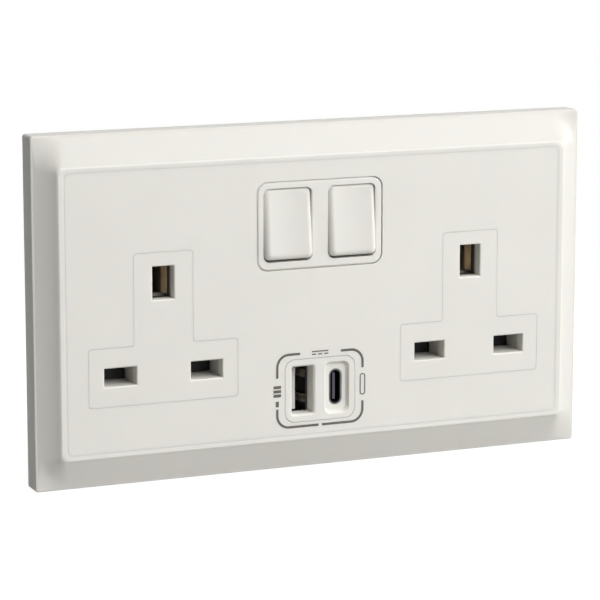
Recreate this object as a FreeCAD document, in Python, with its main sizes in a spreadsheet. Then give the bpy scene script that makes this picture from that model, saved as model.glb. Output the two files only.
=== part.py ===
import FreeCAD, Part

# A two-gang switched wall socket with a USB-A and a USB-C outlet, in its own frame.
# The origin is the middle of the plate, in the plane of the wall. X runs to the right as the user
# sees the plate, Y runs into the wall and Z runs up. A level is a height above the wall, towards the
# user, so what is behind the wall has a negative level. All lengths are in millimetres.

import math
import os

import Sketcher
from FreeCAD import Vector

DOC = FreeCAD.newDocument("WallSocket")

# Driving dimensions
SIZES = {
    # plate and coved frame
    "plate_width": 146.0,
    "plate_height": 86.0,
    "rim_depth": 5.8,
    "rim_corner": 0.7,
    "rim_bevel": 0.35,
    "cove_rise": 3.4,
    "cove_bow": 0.25,
    "side_flat": 0.6,
    "side_cove": 5.3,
    "top_flat": 0.6,
    "top_cove": 6.9,
    "cove_corner_spread": 1.5,
    "lip_corner": 1.5,
    "lip_width": 1.3,
    "lip_depth": 2.0,
    "lip_round": 0.45,
    "frame_wall": 1.8,
    # panel
    "panel_recess": 0.2,
    "panel_thick": 2.0,
    "panel_skirt": 1.5,
    "panel_ledge": 0.7,
    "panel_seam": 0.06,
    "ledge_gap": 0.25,
    "outlet_gap": 0.04,
    "island_gap": 0.1,
    "island_flange": 1.0,
    "flange_thick": 1.2,
    # support frame behind the panel
    "support_thick": 2.0,
    "support_margin": 0.9,
    "fixing_spacing": 120.6,
    "fixing_radius": 2.0,
    "rib_width": 1.2,
    "rib_rise": 1.5,
    "rib_gap": 0.2,
    "snap_width": 10.0,
    "snap_spacing": 90.0,
    "snap_thick": 1.6,
    "snap_nib": 0.5,
    "snap_gap": 0.2,
    # outlets
    "outlet_pitch": 82.2,
    "pin_line": -15.7,
    "pin_spacing": 22.2,
    "pin_rise": 22.2,
    "slot_width": 8.2,
    "slot_height": 4.5,
    "earth_slot_width": 5.5,
    "earth_slot_height": 8.1,
    "tee_side": 8.1,
    "tee_foot": 7.2,
    "tee_top": 7.5,
    "tee_stem": 15.2,
    "tee_corner": 0.8,
    "insert_wall": 1.5,
    "chute_wall": 1.1,
    "earth_chute": 5.0,
    "chute_gap": 0.15,
    # switches
    "switch_line": 18.6,
    "switch_pitch": 17.1,
    "bezel_line": 18.4,
    "bezel_width": 33.5,
    "bezel_height": 21.8,
    "bezel_corner": 2.8,
    "well_width": 12.7,
    "well_height": 18.4,
    "well_corner": 1.4,
    "well_bevel": 0.5,
    "hinge_depth": 4.4,
    "hinge_radius": 1.2,
    "hinge_play": 0.05,
    "hinge_length": 1.3,
    "rocker_side_gap": 0.2,
    "rocker_end_gap": 0.5,
    "rocker_corner": 1.2,
    "rocker_round": 1.0,
    "rocker_wall": 1.5,
    "rocker_skirt": 1.5,
    "rocker_dish": 0.3,
    "rocker_tilt": 5.5,
    "stem_radius": 2.7,
    "stem_bore": 1.8,
    "bore_roof": 0.8,
    "stem_reach": 6.5,
    "plunger_radius": 1.7,
    "plunger_tip": 1.0,
    "plunger_nose": 0.6,
    "plunger_shoulder": 1.6,
    "plunger_length": 5.6,
    "contact_play": 0.15,
    "seesaw_stand": 3.0,
    "seesaw_length": 15.0,
    "seesaw_width": 5.0,
    "seesaw_tilt": 11.0,
    "seesaw_stop_gap": 0.25,
    "button_radius": 1.5,
    "button_thick": 0.7,
    "button_reach": 6.3,
    # sheet metal inside
    "brass_thick": 0.8,
    "strip_width": 3.6,
    "clip_span": 5.6,
    "clip_mouth": 2.6,
    "clip_pinch": 1.85,
    "clip_root": 2.3,
    "clip_lead": 1.6,
    "contact_level": -3.0,
    "live_level": -9.9,
    "feed_level": -9.0,
    "earth_level": -14.6,
    "neutral_level": -17.6,
    "earth_clip_height": 7.0,
    "earth_contact_gap": 0.3,
    "neutral_line": 0.0,
    "live_run": 19.0,
    "live_cross": 14.6,
    # terminals
    "terminal_level": -11.5,
    "terminal_side": 8.0,
    "terminal_room": 2.9,
    "wire_radius": 2.1,
    "wire_depth": 6.8,
    "earth_terminal": -32.0,
    "screw_radius": 1.9,
    "screw_play": 0.05,
    "screw_length": 3.6,
    "screw_slot": 0.8,
    "driver_radius": 2.6,
    "bay_width": 8.0,
    "bay_room": 2.6,
    # shutters
    "shutter_thick": 1.6,
    "shutter_gap": 0.3,
    "shutter_cover": 0.7,
    "shutter_travel_room": 0.5,
    "shutter_stem": 6.0,
    "wedge_width": 3.2,
    "wedge_back": 1.2,
    "guide_width": 1.2,
    "spring_radius": 1.4,
    "spring_wire": 0.4,
    "spring_turns": 4.0,
    "plunger_turns": 3.0,
    # rear housing
    "housing_height": 66.0,
    "housing_margin": 7.2,
    "housing_depth": 22.0,
    "housing_wall": 1.6,
    "housing_floor": 2.0,
    "housing_corner": 1.2,
    "lug_notch": 3.2,
    "lug_height": 12.0,
    "boss_radius": 3.2,
    "boss_level": -8.0,
    "boss_hole": 1.7,
    "fastener_radius": 1.25,
    "fastener_head": 2.7,
    "head_thick": 1.8,
    "head_play": 0.2,
    "boss_inset_x": 9.9,
    "boss_inset_z": 8.0,
    "lower_boss_x": 20.8,
    "post_side": 3.2,
    # usb module
    "usb_foot": -30.85,
    "usb_width": 18.7,
    "usb_end_wall": 1.85,
    "usb_corner": 2.6,
    "usb_wall": 1.2,
    "usb_face": 4.2,
    "port_spacing": 9.2,
    "port_a_width": 5.8,
    "port_a_height": 12.0,
    "port_a_corner": 0.5,
    "port_a_lead": 0.4,
    "port_c_width": 5.8,
    "port_c_end_wall": 1.65,
    "port_c_corner": 1.6,
    "port_c_recess": 1.1,
    "shell_a_width": 5.7,
    "shell_a_lap": 0.55,
    "shell_c_width": 3.26,
    "shell_c_height": 8.94,
    "shell_wall": 0.3,
    "shell_gap": 0.1,
    "shell_c_flat": 0.06,
    "tongue_a_thick": 1.84,
    "tongue_a_end": 0.45,
    "tongue_a_shift": -1.2,
    "tongue_c_thick": 0.7,
    "tongue_c_height": 6.7,
    "tongue_a_inset": 0.2,
    "tongue_c_inset": 1.0,
    "tongue_root": 2.5,
    "board_width": 30.0,
    "board_top": -4.6,
    "board_level": -8.0,
    "board_thick": 1.6,
    "board_gap": 0.5,
    "transformer_width": 12.0,
    "transformer_height": 10.0,
    "transformer_depth": 7.6,
    "core_height": 6.0,
    "winding_width": 8.4,
    "winding_round": 0.8,
    "winding_step": 0.8,
    "capacitor_radius": 4.0,
    "capacitor_depth": 8.6,
    "capacitor_bevel": 0.5,
}


def make_sheet():
    """Writes each driving dimension into the sheet under its own name."""
    sheet = DOC.addObject("Spreadsheet::Sheet", "Sizes")
    for row, (name, value) in enumerate(SIZES.items(), start=1):
        sheet.set(f"A{row}", name)
        sheet.set(f"B{row}", str(value))
        sheet.setAlias(f"B{row}", name)
    DOC.recompute()


class Size:
    """A number together with the formula that gives it from the sheet."""

    def __init__(self, value, formula):
        self.value = value
        self.formula = formula

    def __add__(self, other):
        other = as_size(other)
        return Size(self.value + other.value, f"({self.formula} + {other.formula})")

    def __sub__(self, other):
        other = as_size(other)
        return Size(self.value - other.value, f"({self.formula} - {other.formula})")

    def __mul__(self, other):
        other = as_size(other)
        return Size(self.value * other.value, f"({self.formula} * {other.formula})")

    def __truediv__(self, other):
        other = as_size(other)
        return Size(self.value / other.value, f"({self.formula} / {other.formula})")

    def __radd__(self, other):
        return as_size(other) + self

    def __rsub__(self, other):
        return as_size(other) - self

    def __rmul__(self, other):
        return as_size(other) * self

    def __neg__(self):
        return as_size(0.0) - self


def as_size(number):
    """Takes a plain number as a size."""
    if isinstance(number, Size):
        return number
    return Size(float(number), f"({float(number)})")


def root(number):
    """The square root of a size."""
    return Size(math.sqrt(number.value), f"sqrt({number.formula})")


def sine(angle):
    """The sine of a size in degrees."""
    return Size(math.sin(math.radians(angle.value)), f"sin({angle.formula} * 1 deg)")


def cosine(angle):
    """The cosine of a size in degrees."""
    return Size(math.cos(math.radians(angle.value)), f"cos({angle.formula} * 1 deg)")


class Sheet:
    """Gives a size of the sheet by its name."""

    def __getattr__(self, name):
        return Size(float(SIZES[name]), f"Sizes.{name}")


S = Sheet()
make_sheet()
NODES = []

# Two places closer than this are one place
CLOSE = 1e-3

# Levels from the lip crest back into the wall box
FACE = S.rim_depth + S.cove_rise
PANEL_FACE = FACE - S.panel_recess
PANEL_BACK = PANEL_FACE - S.panel_thick
LEDGE_TOP = FACE - S.lip_depth - S.panel_seam
FLANGE_BACK = PANEL_BACK - S.flange_thick
SUPPORT_FACE = S.support_thick
WALL = as_size(0)
SHUTTER_FACE = WALL - S.shutter_gap
SHUTTER_BACK = SHUTTER_FACE - S.shutter_thick
FLOOR = S.housing_floor - S.housing_depth

# Half sizes of the nested outlines, from the lip inwards
LIP_X = S.plate_width / 2 - S.side_flat - S.side_cove
LIP_Z = S.plate_height / 2 - S.top_flat - S.top_cove
WINDOW_X = LIP_X - S.lip_width
WINDOW_Z = LIP_Z - S.lip_width
PANEL_X = WINDOW_X - S.panel_seam
PANEL_Z = WINDOW_Z - S.panel_seam
LEDGE_X = PANEL_X + S.panel_ledge
LEDGE_Z = PANEL_Z + S.panel_ledge
SUPPORT_X = LEDGE_X + S.support_margin
SUPPORT_Z = LEDGE_Z + S.support_margin

# Places on the plate
OUTLETS = {"left": -S.outlet_pitch / 2, "right": S.outlet_pitch / 2}
SWITCHES = {"left": -S.switch_pitch / 2, "right": S.switch_pitch / 2}
EARTH_LINE = S.pin_line + S.pin_rise
PIN_X = S.pin_spacing / 2
LIVE_PIN = {"left": OUTLETS["left"] + PIN_X, "right": OUTLETS["right"] + PIN_X}
NEUTRAL_PIN = {"left": OUTLETS["left"] - PIN_X, "right": OUTLETS["right"] - PIN_X}
PORT_A_X = -S.port_spacing / 2
PORT_C_X = S.port_spacing / 2
USB_HEIGHT = S.port_a_height + 2 * S.usb_end_wall
USB_LINE = S.usb_foot + USB_HEIGHT / 2
PORT_C_HEIGHT = USB_HEIGHT - 2 * S.port_c_end_wall
SHELL_A_HEIGHT = S.port_a_height + 2 * S.shell_a_lap
TONGUE_A_HEIGHT = S.port_a_height - 2 * S.tongue_a_end

# Switch mechanism, from the hinge back to the feed bar
HINGE_LEVEL = PANEL_FACE - S.hinge_depth
SEESAW_FACE = S.feed_level + S.seesaw_stand
SEESAW_AXIS = SEESAW_FACE - S.brass_thick - S.contact_play
TIP_REACH = HINGE_LEVEL - SEESAW_FACE - S.contact_play
ROCKER_X = S.well_width / 2 - S.rocker_side_gap
ROCKER_Z = S.well_height / 2 - S.rocker_end_gap

# Rear housing
HOUSING_X = S.outlet_pitch / 2 + PIN_X + S.housing_margin
HOUSING_Z = S.housing_height / 2
TERMINAL_BASE = HOUSING_Z - S.housing_wall - S.terminal_room - S.terminal_side
TERMINAL_Z = TERMINAL_BASE + S.terminal_side / 2
BOSS_X = HOUSING_X - S.boss_inset_x
BOSS_Z = HOUSING_Z - S.boss_inset_z
BOSSES = [
    (-BOSS_X, BOSS_Z),
    (BOSS_X, BOSS_Z),
    (-S.lower_boss_x, -BOSS_Z),
    (S.lower_boss_x, -BOSS_Z),
]
TERMINALS = {
    "live": (WALL, S.feed_level - S.brass_thick),
    "neutral": (NEUTRAL_PIN["right"], S.terminal_level),
    "earth": (S.earth_terminal, S.terminal_level),
}


def keep(thing, label):
    """Names a finished sub-part and puts it on the list of nodes."""
    thing.Label = label
    NODES.append(thing)
    return thing


def new_body(label):
    return keep(DOC.addObject("PartDesign::Body", label), label)


def bind(thing, **sizes):
    """Binds properties of an object to the sheet."""
    for name, number in sizes.items():
        thing.setExpression(name, as_size(number).formula)


def new_sketch(body, name, role, offset):
    """An empty sketch, parallel to one of the body's own origin planes."""
    plane = next(item for item in body.Origin.OriginFeatures if item.Role == role)
    sketch = body.newObject("Sketcher::SketchObject", name)
    sketch.AttachmentSupport = (plane, [""])
    sketch.MapMode = "FlatFace"
    sketch.setExpression("AttachmentOffset.Base.z", as_size(offset).formula)
    return sketch


def hold(sketch, kind, line, point, number):
    """Fixes one coordinate of a point in a sketch."""
    index = sketch.addConstraint(Sketcher.Constraint(kind, -1, 1, line, point, number.value))
    sketch.setExpression(f"Constraints[{index}]", number.formula)


def hold_radius(sketch, line, radius):
    index = sketch.addConstraint(Sketcher.Constraint("Radius", line, radius.value))
    sketch.setExpression(f"Constraints[{index}]", radius.formula)


def circle(across, up, radius):
    """Draws a circle."""
    across, up, radius = as_size(across), as_size(up), as_size(radius)

    def draw(sketch):
        centre = Vector(across.value, up.value, 0)
        line = sketch.addGeometry(Part.Circle(centre, Vector(0, 0, 1), radius.value))
        hold(sketch, "DistanceX", line, 3, across)
        hold(sketch, "DistanceY", line, 3, up)
        hold_radius(sketch, line, radius)

    return draw


def polygon(points):
    """Draws a closed outline of straight lines through any points."""
    points = [(as_size(across), as_size(up)) for across, up in points]

    def draw(sketch):
        spots = [Vector(across.value, up.value, 0) for across, up in points]
        lines = []
        for here, there in zip(spots, spots[1:] + spots[:1]):
            lines.append(sketch.addGeometry(Part.LineSegment(here, there)))
        for line, follower in zip(lines, lines[1:] + lines[:1]):
            sketch.addConstraint(Sketcher.Constraint("Coincident", line, 2, follower, 1))
        for line, (across, up) in zip(lines, points):
            hold(sketch, "DistanceX", line, 1, across)
            hold(sketch, "DistanceY", line, 1, up)

    return draw


def rounded(points, radius):
    """Draws a closed outline of level and upright lines with the same arc at every corner."""
    points = [(as_size(across), as_size(up)) for across, up in points]
    radius = as_size(radius)

    def draw(sketch):
        spots = [Vector(across.value, up.value, 0) for across, up in points]
        count = len(spots)
        ways = [(spots[(i + 1) % count] - spots[i]).normalize() for i in range(count)]
        lines = []
        arcs = []
        for i in range(count):
            start = spots[i] + ways[i] * radius.value
            end = spots[(i + 1) % count] - ways[i] * radius.value
            lines.append(sketch.addGeometry(Part.LineSegment(start, end)))
        for i in range(count):
            before, after = ways[i - 1], ways[i]
            centre = spots[i] + (after - before) * radius.value
            first = spots[i] - before * radius.value - centre
            last = spots[i] + after * radius.value - centre
            turns_left = before.cross(after).z > 0
            if not turns_left:
                first, last = last, first
            curve = Part.Circle(centre, Vector(0, 0, 1), radius.value)
            angles = [math.atan2(spoke.y, spoke.x) for spoke in (first, last)]
            arcs.append(sketch.addGeometry(Part.ArcOfCircle(curve, *angles)))
            arc_in, arc_out = (1, 2) if turns_left else (2, 1)
            sketch.addConstraint(Sketcher.Constraint("Tangent", lines[i - 1], 2, arcs[i], arc_in))
            sketch.addConstraint(Sketcher.Constraint("Tangent", arcs[i], arc_out, lines[i], 1))
        for i in range(count):
            if abs(ways[i].x) < 0.5:
                sketch.addConstraint(Sketcher.Constraint("Vertical", lines[i]))
                hold(sketch, "DistanceX", lines[i], 1, points[i][0])
            else:
                sketch.addConstraint(Sketcher.Constraint("Horizontal", lines[i]))
                hold(sketch, "DistanceY", lines[i], 1, points[i][1])
        hold_radius(sketch, arcs[0], radius)
        for arc in arcs[1:]:
            sketch.addConstraint(Sketcher.Constraint("Equal", arcs[0], arc))

    return draw


def corners(across, up, half_width, half_height):
    """The corners of a rectangle about its centre."""
    return [
        (across - half_width, up - half_height),
        (across + half_width, up - half_height),
        (across + half_width, up + half_height),
        (across - half_width, up + half_height),
    ]


def rect(across, up, width, height, radius=None):
    """Draws a rectangle about its centre, with round corners if a radius is given."""
    points = corners(as_size(across), as_size(up), as_size(width) / 2, as_size(height) / 2)
    if radius is None:
        return polygon(points)
    return rounded(points, radius)


def ribbon(path, width):
    """The outline of a flat strip that follows a path of level and upright runs."""
    path = [(as_size(across), as_size(up)) for across, up in path]
    spots = [Vector(across.value, up.value, 0) for across, up in path]
    sides = []
    for here, there in zip(spots, spots[1:]):
        way = (there - here).normalize()
        sides.append((-round(way.y), round(way.x)))
    half = as_size(width) / 2
    left = []
    right = []
    for i, (across, up) in enumerate(path):
        near = sides[max(i - 1, 0) : i + 1] or sides[-1:]
        shift = {side for side in near}
        push_x = half * sum(side[0] for side in shift)
        push_z = half * sum(side[1] for side in shift)
        left.append((across + push_x, up + push_z))
        right.append((across - push_x, up - push_z))
    return polygon(left + right[::-1])


def pad(body, name, loops, low, high, role="XZ_Plane"):
    """Adds what lies between two levels inside the outlines."""
    sketch = new_sketch(body, name + "_outline", role, low)
    for draw in loops:
        draw(sketch)
    feature = body.newObject("PartDesign::Pad", name)
    feature.Profile = sketch
    bind(feature, Length=as_size(high) - low)
    return feature


def pocket(body, name, loops, low, high, role="XZ_Plane"):
    """Cuts away what lies between two levels inside the outlines."""
    sketch = new_sketch(body, name + "_outline", role, high)
    for draw in loops:
        draw(sketch)
    feature = body.newObject("PartDesign::Pocket", name)
    feature.Profile = sketch
    bind(feature, Length=as_size(high) - low)
    return feature


def edges_at(shape, level, wanted=None):
    """The names of a shape's edges that lie at one level and whose box passes a test."""
    names = []
    for number, edge in enumerate(shape.Edges, start=1):
        box = edge.BoundBox
        if abs(box.YMin + level) > CLOSE or abs(box.YMax + level) > CLOSE:
            continue
        if wanted is None or wanted(box):
            names.append(f"Edge{number}")
    return names


def fillet(body, name, base, names, radius):
    """Rounds edges of a feature."""
    feature = body.newObject("PartDesign::Fillet", name)
    feature.Base = (base, names)
    bind(feature, Radius=radius)
    return feature


def chamfer(body, name, base, names, width):
    """Bevels edges of a feature."""
    feature = body.newObject("PartDesign::Chamfer", name)
    feature.Base = (base, names)
    bind(feature, Size=width)
    return feature


def place(thing, across=0, level=0, up=0, axis=None, angle=None):
    """Binds a sub-part's place, and its turn about an axis if one is given."""
    turn = FreeCAD.Rotation(axis, angle.value) if axis else FreeCAD.Rotation()
    thing.Placement = FreeCAD.Placement(Vector(), turn)
    thing.setExpression("Placement.Base.x", as_size(across).formula)
    thing.setExpression("Placement.Base.y", (-as_size(level)).formula)
    thing.setExpression("Placement.Base.z", as_size(up).formula)
    if axis:
        thing.setExpression("Placement.Rotation.Angle", f"{angle.formula} * 1 deg")


def tee_points(grow):
    """The T outline round the three slots of an outlet, about the outlet's own middle line."""
    arm = PIN_X + S.tee_side + grow
    stem = S.tee_stem / 2 + grow
    foot = S.pin_line - S.tee_foot - grow
    shoulder = S.pin_line + S.tee_foot + grow
    top = EARTH_LINE + S.tee_top + grow
    return [
        (-arm, foot),
        (arm, foot),
        (arm, shoulder),
        (stem, shoulder),
        (stem, top),
        (-stem, top),
        (-stem, shoulder),
        (-arm, shoulder),
    ]


def moved(points, across):
    return [(x + across, z) for x, z in points]


def make_outer_frame():
    """The outer frame: a rim, flanks that steepen a little up to a round lip, hollow behind."""
    body = new_body("outer_frame")
    rim_outline = rect(0, 0, S.plate_width, S.plate_height, S.rim_corner)
    rim = pad(body, "rim", [rim_outline], 0, S.rim_depth)

    # Each flank is part of a parabola: the bow is the share of the rise that grows with the square
    steps = 5
    sections = []
    for step in range(steps + 1):
        share = step / steps
        bowed = S.cove_bow * (share * share - share)
        rise = S.cove_rise * (bowed + share)
        width = S.plate_width - 2 * (S.side_flat + S.side_cove * share)
        height = S.plate_height - 2 * (S.top_flat + S.top_cove * share)
        outline = rect(0, 0, width, height, S.lip_corner + S.cove_corner_spread * (1 - share))
        section = new_sketch(body, f"cove_section_{step}", "XZ_Plane", S.rim_depth + rise)
        outline(section)
        sections.append(section)
    cove = body.newObject("PartDesign::AdditiveLoft", "cove")
    cove.Profile = sections[0]
    cove.Sections = sections[1:]

    deep_outline = rect(0, 0, 2 * (LEDGE_X + S.ledge_gap), 2 * (LEDGE_Z + S.ledge_gap), S.lip_corner)
    wide_outline = rect(
        0, 0, S.plate_width - 2 * S.frame_wall, S.plate_height - 2 * S.frame_wall, S.rim_corner
    )
    pocket(body, "wide_hollow", [wide_outline], 0, S.rim_depth - S.frame_wall)
    pocket(body, "deep_hollow", [deep_outline], 0, FACE - S.lip_depth)
    window = pocket(body, "window", [rect(0, 0, 2 * WINDOW_X, 2 * WINDOW_Z, S.lip_corner)], 0, FACE)
    DOC.recompute()
    lip_edges = edges_at(window.Shape, FACE.value)
    lip = fillet(body, "lip_rounding", window, lip_edges, S.lip_round)
    DOC.recompute()

    def on_outline(box):
        beyond_x = max(box.XMax, -box.XMin) > S.plate_width.value / 2 - CLOSE
        beyond_z = max(box.ZMax, -box.ZMin) > S.plate_height.value / 2 - CLOSE
        return beyond_x or beyond_z

    chamfer(body, "rim_bevel", lip, edges_at(lip.Shape, S.rim_depth.value, on_outline), S.rim_bevel)

    # Snap tongues that hook behind the support frame
    tongue_z = SUPPORT_Z + S.snap_gap + S.snap_thick / 2
    nib_z = SUPPORT_Z + S.snap_gap - S.snap_nib / 2
    spots = [(x, z) for x in (-1, 1) for z in (-1, 1)]
    tongues = [rect(S.snap_spacing / 2 * x, tongue_z * z, S.snap_width, S.snap_thick) for x, z in spots]
    pad(body, "tongues", tongues, S.snap_gap, S.rim_depth - S.frame_wall)
    nibs = [rect(S.snap_spacing / 2 * x, nib_z * z, S.snap_width, S.snap_nib) for x, z in spots]
    pad(body, "nibs", nibs, S.snap_gap, S.snap_gap + S.snap_nib)
    return body


def make_front_panel():
    """The inset panel: a tray with a window for each outlet, the switches and the USB block."""
    body = new_body("front_panel")
    pad(body, "face", [rect(0, 0, 2 * PANEL_X, 2 * PANEL_Z, S.lip_corner)], LEDGE_TOP, PANEL_FACE)
    pad(body, "ledge", [rect(0, 0, 2 * LEDGE_X, 2 * LEDGE_Z, S.lip_corner)], SUPPORT_FACE, LEDGE_TOP)
    inner = rect(0, 0, 2 * (PANEL_X - S.panel_skirt), 2 * (PANEL_Z - S.panel_skirt), S.lip_corner)
    pocket(body, "hollow", [inner], SUPPORT_FACE, PANEL_BACK)
    for side, middle in OUTLETS.items():
        outline = rounded(moved(tee_points(S.outlet_gap), middle), S.tee_corner)
        pocket(body, f"outlet_window_{side}", [outline], SUPPORT_FACE, PANEL_FACE)
    grow = 2 * S.island_gap
    bezel = rect(0, S.bezel_line, S.bezel_width + grow, S.bezel_height + grow, S.bezel_corner)
    pocket(body, "switch_window", [bezel], SUPPORT_FACE, PANEL_FACE)
    usb = rect(0, USB_LINE, S.usb_width + grow, USB_HEIGHT + grow, S.usb_corner)
    pocket(body, "usb_window", [usb], SUPPORT_FACE, PANEL_FACE)
    return body


def make_outlet_insert(side, middle):
    """A T-shaped outlet front, hollow behind, with a chute for each pin."""
    body = new_body(f"outlet_insert_{side}")
    pad(body, "tee", [rounded(tee_points(WALL), S.tee_corner)], SUPPORT_FACE, PANEL_FACE)
    pad(body, "flange", [rounded(tee_points(S.island_flange), S.tee_corner)], FLANGE_BACK, PANEL_BACK)
    pocket(body, "hollow", [polygon(tee_points(-S.insert_wall))], SUPPORT_FACE, PANEL_BACK)
    grow = 2 * S.chute_wall
    chutes = [rect(PIN_X * x, S.pin_line, S.slot_width + grow, S.slot_height + grow) for x in (-1, 1)]
    pad(body, "line_chutes", chutes, S.chute_gap, PANEL_BACK)
    earth_chute = rect(0, EARTH_LINE, S.earth_slot_width + grow, S.earth_slot_height + grow)
    pad(body, "earth_chute", [earth_chute], PANEL_FACE - S.earth_chute, PANEL_BACK)
    slots = [rect(PIN_X * x, S.pin_line, S.slot_width, S.slot_height) for x in (-1, 1)]
    slots.append(rect(0, EARTH_LINE, S.earth_slot_width, S.earth_slot_height))
    pocket(body, "slots", slots, S.chute_gap, PANEL_FACE)
    place(body, across=middle)
    return body


def make_switch_bezel():
    """The block round both rockers, with the hinge bore across its wells."""
    body = new_body("switch_bezel")
    outline = rect(0, S.bezel_line, S.bezel_width, S.bezel_height, S.bezel_corner)
    pad(body, "block", [outline], SUPPORT_FACE, PANEL_FACE)
    grow = 2 * S.island_flange
    flange = rect(0, S.bezel_line, S.bezel_width + grow, S.bezel_height + grow, S.bezel_corner)
    pad(body, "flange", [flange], FLANGE_BACK, PANEL_BACK)
    wells = [
        rect(middle, S.switch_line, S.well_width, S.well_height, S.well_corner)
        for middle in SWITCHES.values()
    ]
    sunk = pocket(body, "wells", wells, SUPPORT_FACE, PANEL_FACE)
    DOC.recompute()
    well_reach = (S.switch_pitch / 2 + S.well_width / 2).value + CLOSE

    def in_wells(box):
        return max(box.XMax, -box.XMin) < well_reach

    chamfer(body, "well_bevel", sunk, edges_at(sunk.Shape, PANEL_FACE.value, in_wells), S.well_bevel)
    reach = S.switch_pitch / 2 + S.well_width / 2 + S.hinge_length
    bore = circle(-HINGE_LEVEL, S.switch_line, S.hinge_radius + S.hinge_play)
    pocket(body, "hinge_bore", [bore], -reach, reach, role="YZ_Plane")
    return body


def make_rocker(side, middle):
    """A rocker cap on stub axles, with a dished face and a hollow stem, about its own hinge line."""
    body = new_body(f"rocker_{side}")
    skirt_level = -S.rocker_skirt
    outline = rect(0, 0, 2 * ROCKER_X, 2 * ROCKER_Z, S.rocker_corner)
    cap = pad(body, "cap", [outline], skirt_level, S.hinge_depth)
    DOC.recompute()
    fillet(body, "rounding", cap, edges_at(cap.Shape, S.hinge_depth.value), S.rocker_round)
    chord = ROCKER_X - S.rocker_round
    dish_radius = (chord * chord + S.rocker_dish * S.rocker_dish) / (2 * S.rocker_dish)
    dish = circle(0, -(S.hinge_depth - S.rocker_dish + dish_radius), dish_radius)
    pocket(body, "dish", [dish], -ROCKER_Z, ROCKER_Z, role="XY_Plane")
    roof = S.hinge_depth - S.rocker_wall
    inner_x = 2 * (ROCKER_X - S.rocker_wall)
    inner_z = 2 * (ROCKER_Z - S.rocker_wall)
    pocket(body, "hollow", [rect(0, 0, inner_x, inner_z)], skirt_level, roof)
    pad(body, "stem", [circle(0, 0, S.stem_radius)], -S.stem_reach, roof)
    pocket(body, "spring_bore", [circle(0, 0, S.stem_bore)], -S.stem_reach, roof - S.bore_roof)
    axle = [circle(0, 0, S.hinge_radius)]
    inner = ROCKER_X - S.rocker_wall
    outer = ROCKER_X + S.rocker_side_gap + S.hinge_length - S.hinge_play
    pad(body, "axle_right", axle, inner, outer, role="YZ_Plane")
    pad(body, "axle_left", axle, -outer, -inner, role="YZ_Plane")
    place(body, middle, HINGE_LEVEL, S.switch_line, Vector(-1, 0, 0), S.rocker_tilt)
    return body


def make_plunger(side, middle):
    """The sprung plunger that slides in the rocker's stem and presses the moving contact over."""
    body = new_body(f"plunger_{side}")
    shoulder = S.plunger_shoulder - TIP_REACH
    pad(body, "shaft", [circle(0, 0, S.plunger_radius)], shoulder, shoulder + S.plunger_length)
    tip = pad(body, "tip", [circle(0, 0, S.plunger_tip)], -TIP_REACH, shoulder)
    DOC.recompute()
    chamfer(body, "nose", tip, edges_at(tip.Shape, -TIP_REACH.value), S.plunger_nose)
    place(body, middle, HINGE_LEVEL, S.switch_line, Vector(-1, 0, 0), S.rocker_tilt)
    return body


def make_spring(label, radius, length, turns):
    """An open coil of square wire about its own upright axis, from its foot up."""
    coil = DOC.addObject("Part::Helix", f"{label}_line")
    bind(coil, Radius=radius - S.spring_wire / 2, Height=length, Pitch=length / turns)
    wire = DOC.addObject("Part::RegularPolygon", f"{label}_wire")
    wire.Polygon = 4
    bind(wire, Circumradius=S.spring_wire / root(as_size(2)))
    wire.Placement = FreeCAD.Placement(Vector(), FreeCAD.Rotation(Vector(1, 0, 0), 90))
    wire.setExpression("Placement.Base.x", (radius - S.spring_wire / 2).formula)
    sweep = DOC.addObject("Part::Sweep", label)
    sweep.Sections = [wire]
    sweep.Spine = (coil, ["Edge1"])
    sweep.Solid = True
    sweep.Frenet = True
    return keep(sweep, label)


def make_plunger_spring(side, middle):
    """The coil inside the rocker's stem, between its roof and the plunger."""
    roof = S.hinge_depth - S.rocker_wall - S.bore_roof
    shaft_top = S.plunger_shoulder - TIP_REACH + S.plunger_length
    length = roof - shaft_top - 2 * S.spring_wire
    spring = make_spring(f"plunger_spring_{side}", S.spring_radius, length, S.plunger_turns)
    start = roof - S.spring_wire
    level = HINGE_LEVEL + start * cosine(S.rocker_tilt)
    up = S.switch_line + start * sine(S.rocker_tilt)
    place(spring, middle, level, up, Vector(-1, 0, 0), S.rocker_tilt + 90)
    return spring


def make_moving_contact(side, middle):
    """The see-saw strip that the plunger tips, with a contact button, about its own pivot line."""
    body = new_body(f"moving_contact_{side}")
    strip = rect(0, 0, S.seesaw_width, S.seesaw_length)
    pad(body, "strip", [strip], S.contact_play, S.contact_play + S.brass_thick)
    button = circle(0, S.button_reach, S.button_radius)
    pad(body, "button", [button], S.contact_play - S.button_thick, S.contact_play)
    place(body, middle, SEESAW_AXIS, S.switch_line, Vector(1, 0, 0), S.seesaw_tilt)
    return body


def make_live_feed_bar():
    """The bar that carries both see-saws on sharp ridges and ends at the live terminal."""
    body = new_body("live_feed_bar")
    back = S.feed_level - S.brass_thick
    bar = rect(0, S.switch_line, S.switch_pitch + S.seesaw_width, S.strip_width)
    pad(body, "bar", [bar], back, S.feed_level)
    tail = ribbon([(WALL, S.switch_line), (WALL, TERMINAL_Z)], S.strip_width)
    pad(body, "tail", [tail], back, S.feed_level)
    apex = SEESAW_AXIS - S.contact_play
    for side, middle in SWITCHES.items():
        ridge = polygon(
            [
                (-S.feed_level + S.brass_thick / 2, S.switch_line - S.strip_width / 2),
                (-S.feed_level + S.brass_thick / 2, S.switch_line + S.strip_width / 2),
                (-apex, S.switch_line),
            ]
        )
        half = S.seesaw_width / 2
        pad(body, f"ridge_{side}", [ridge], middle - half, middle + half, role="YZ_Plane")
    return body


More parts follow.
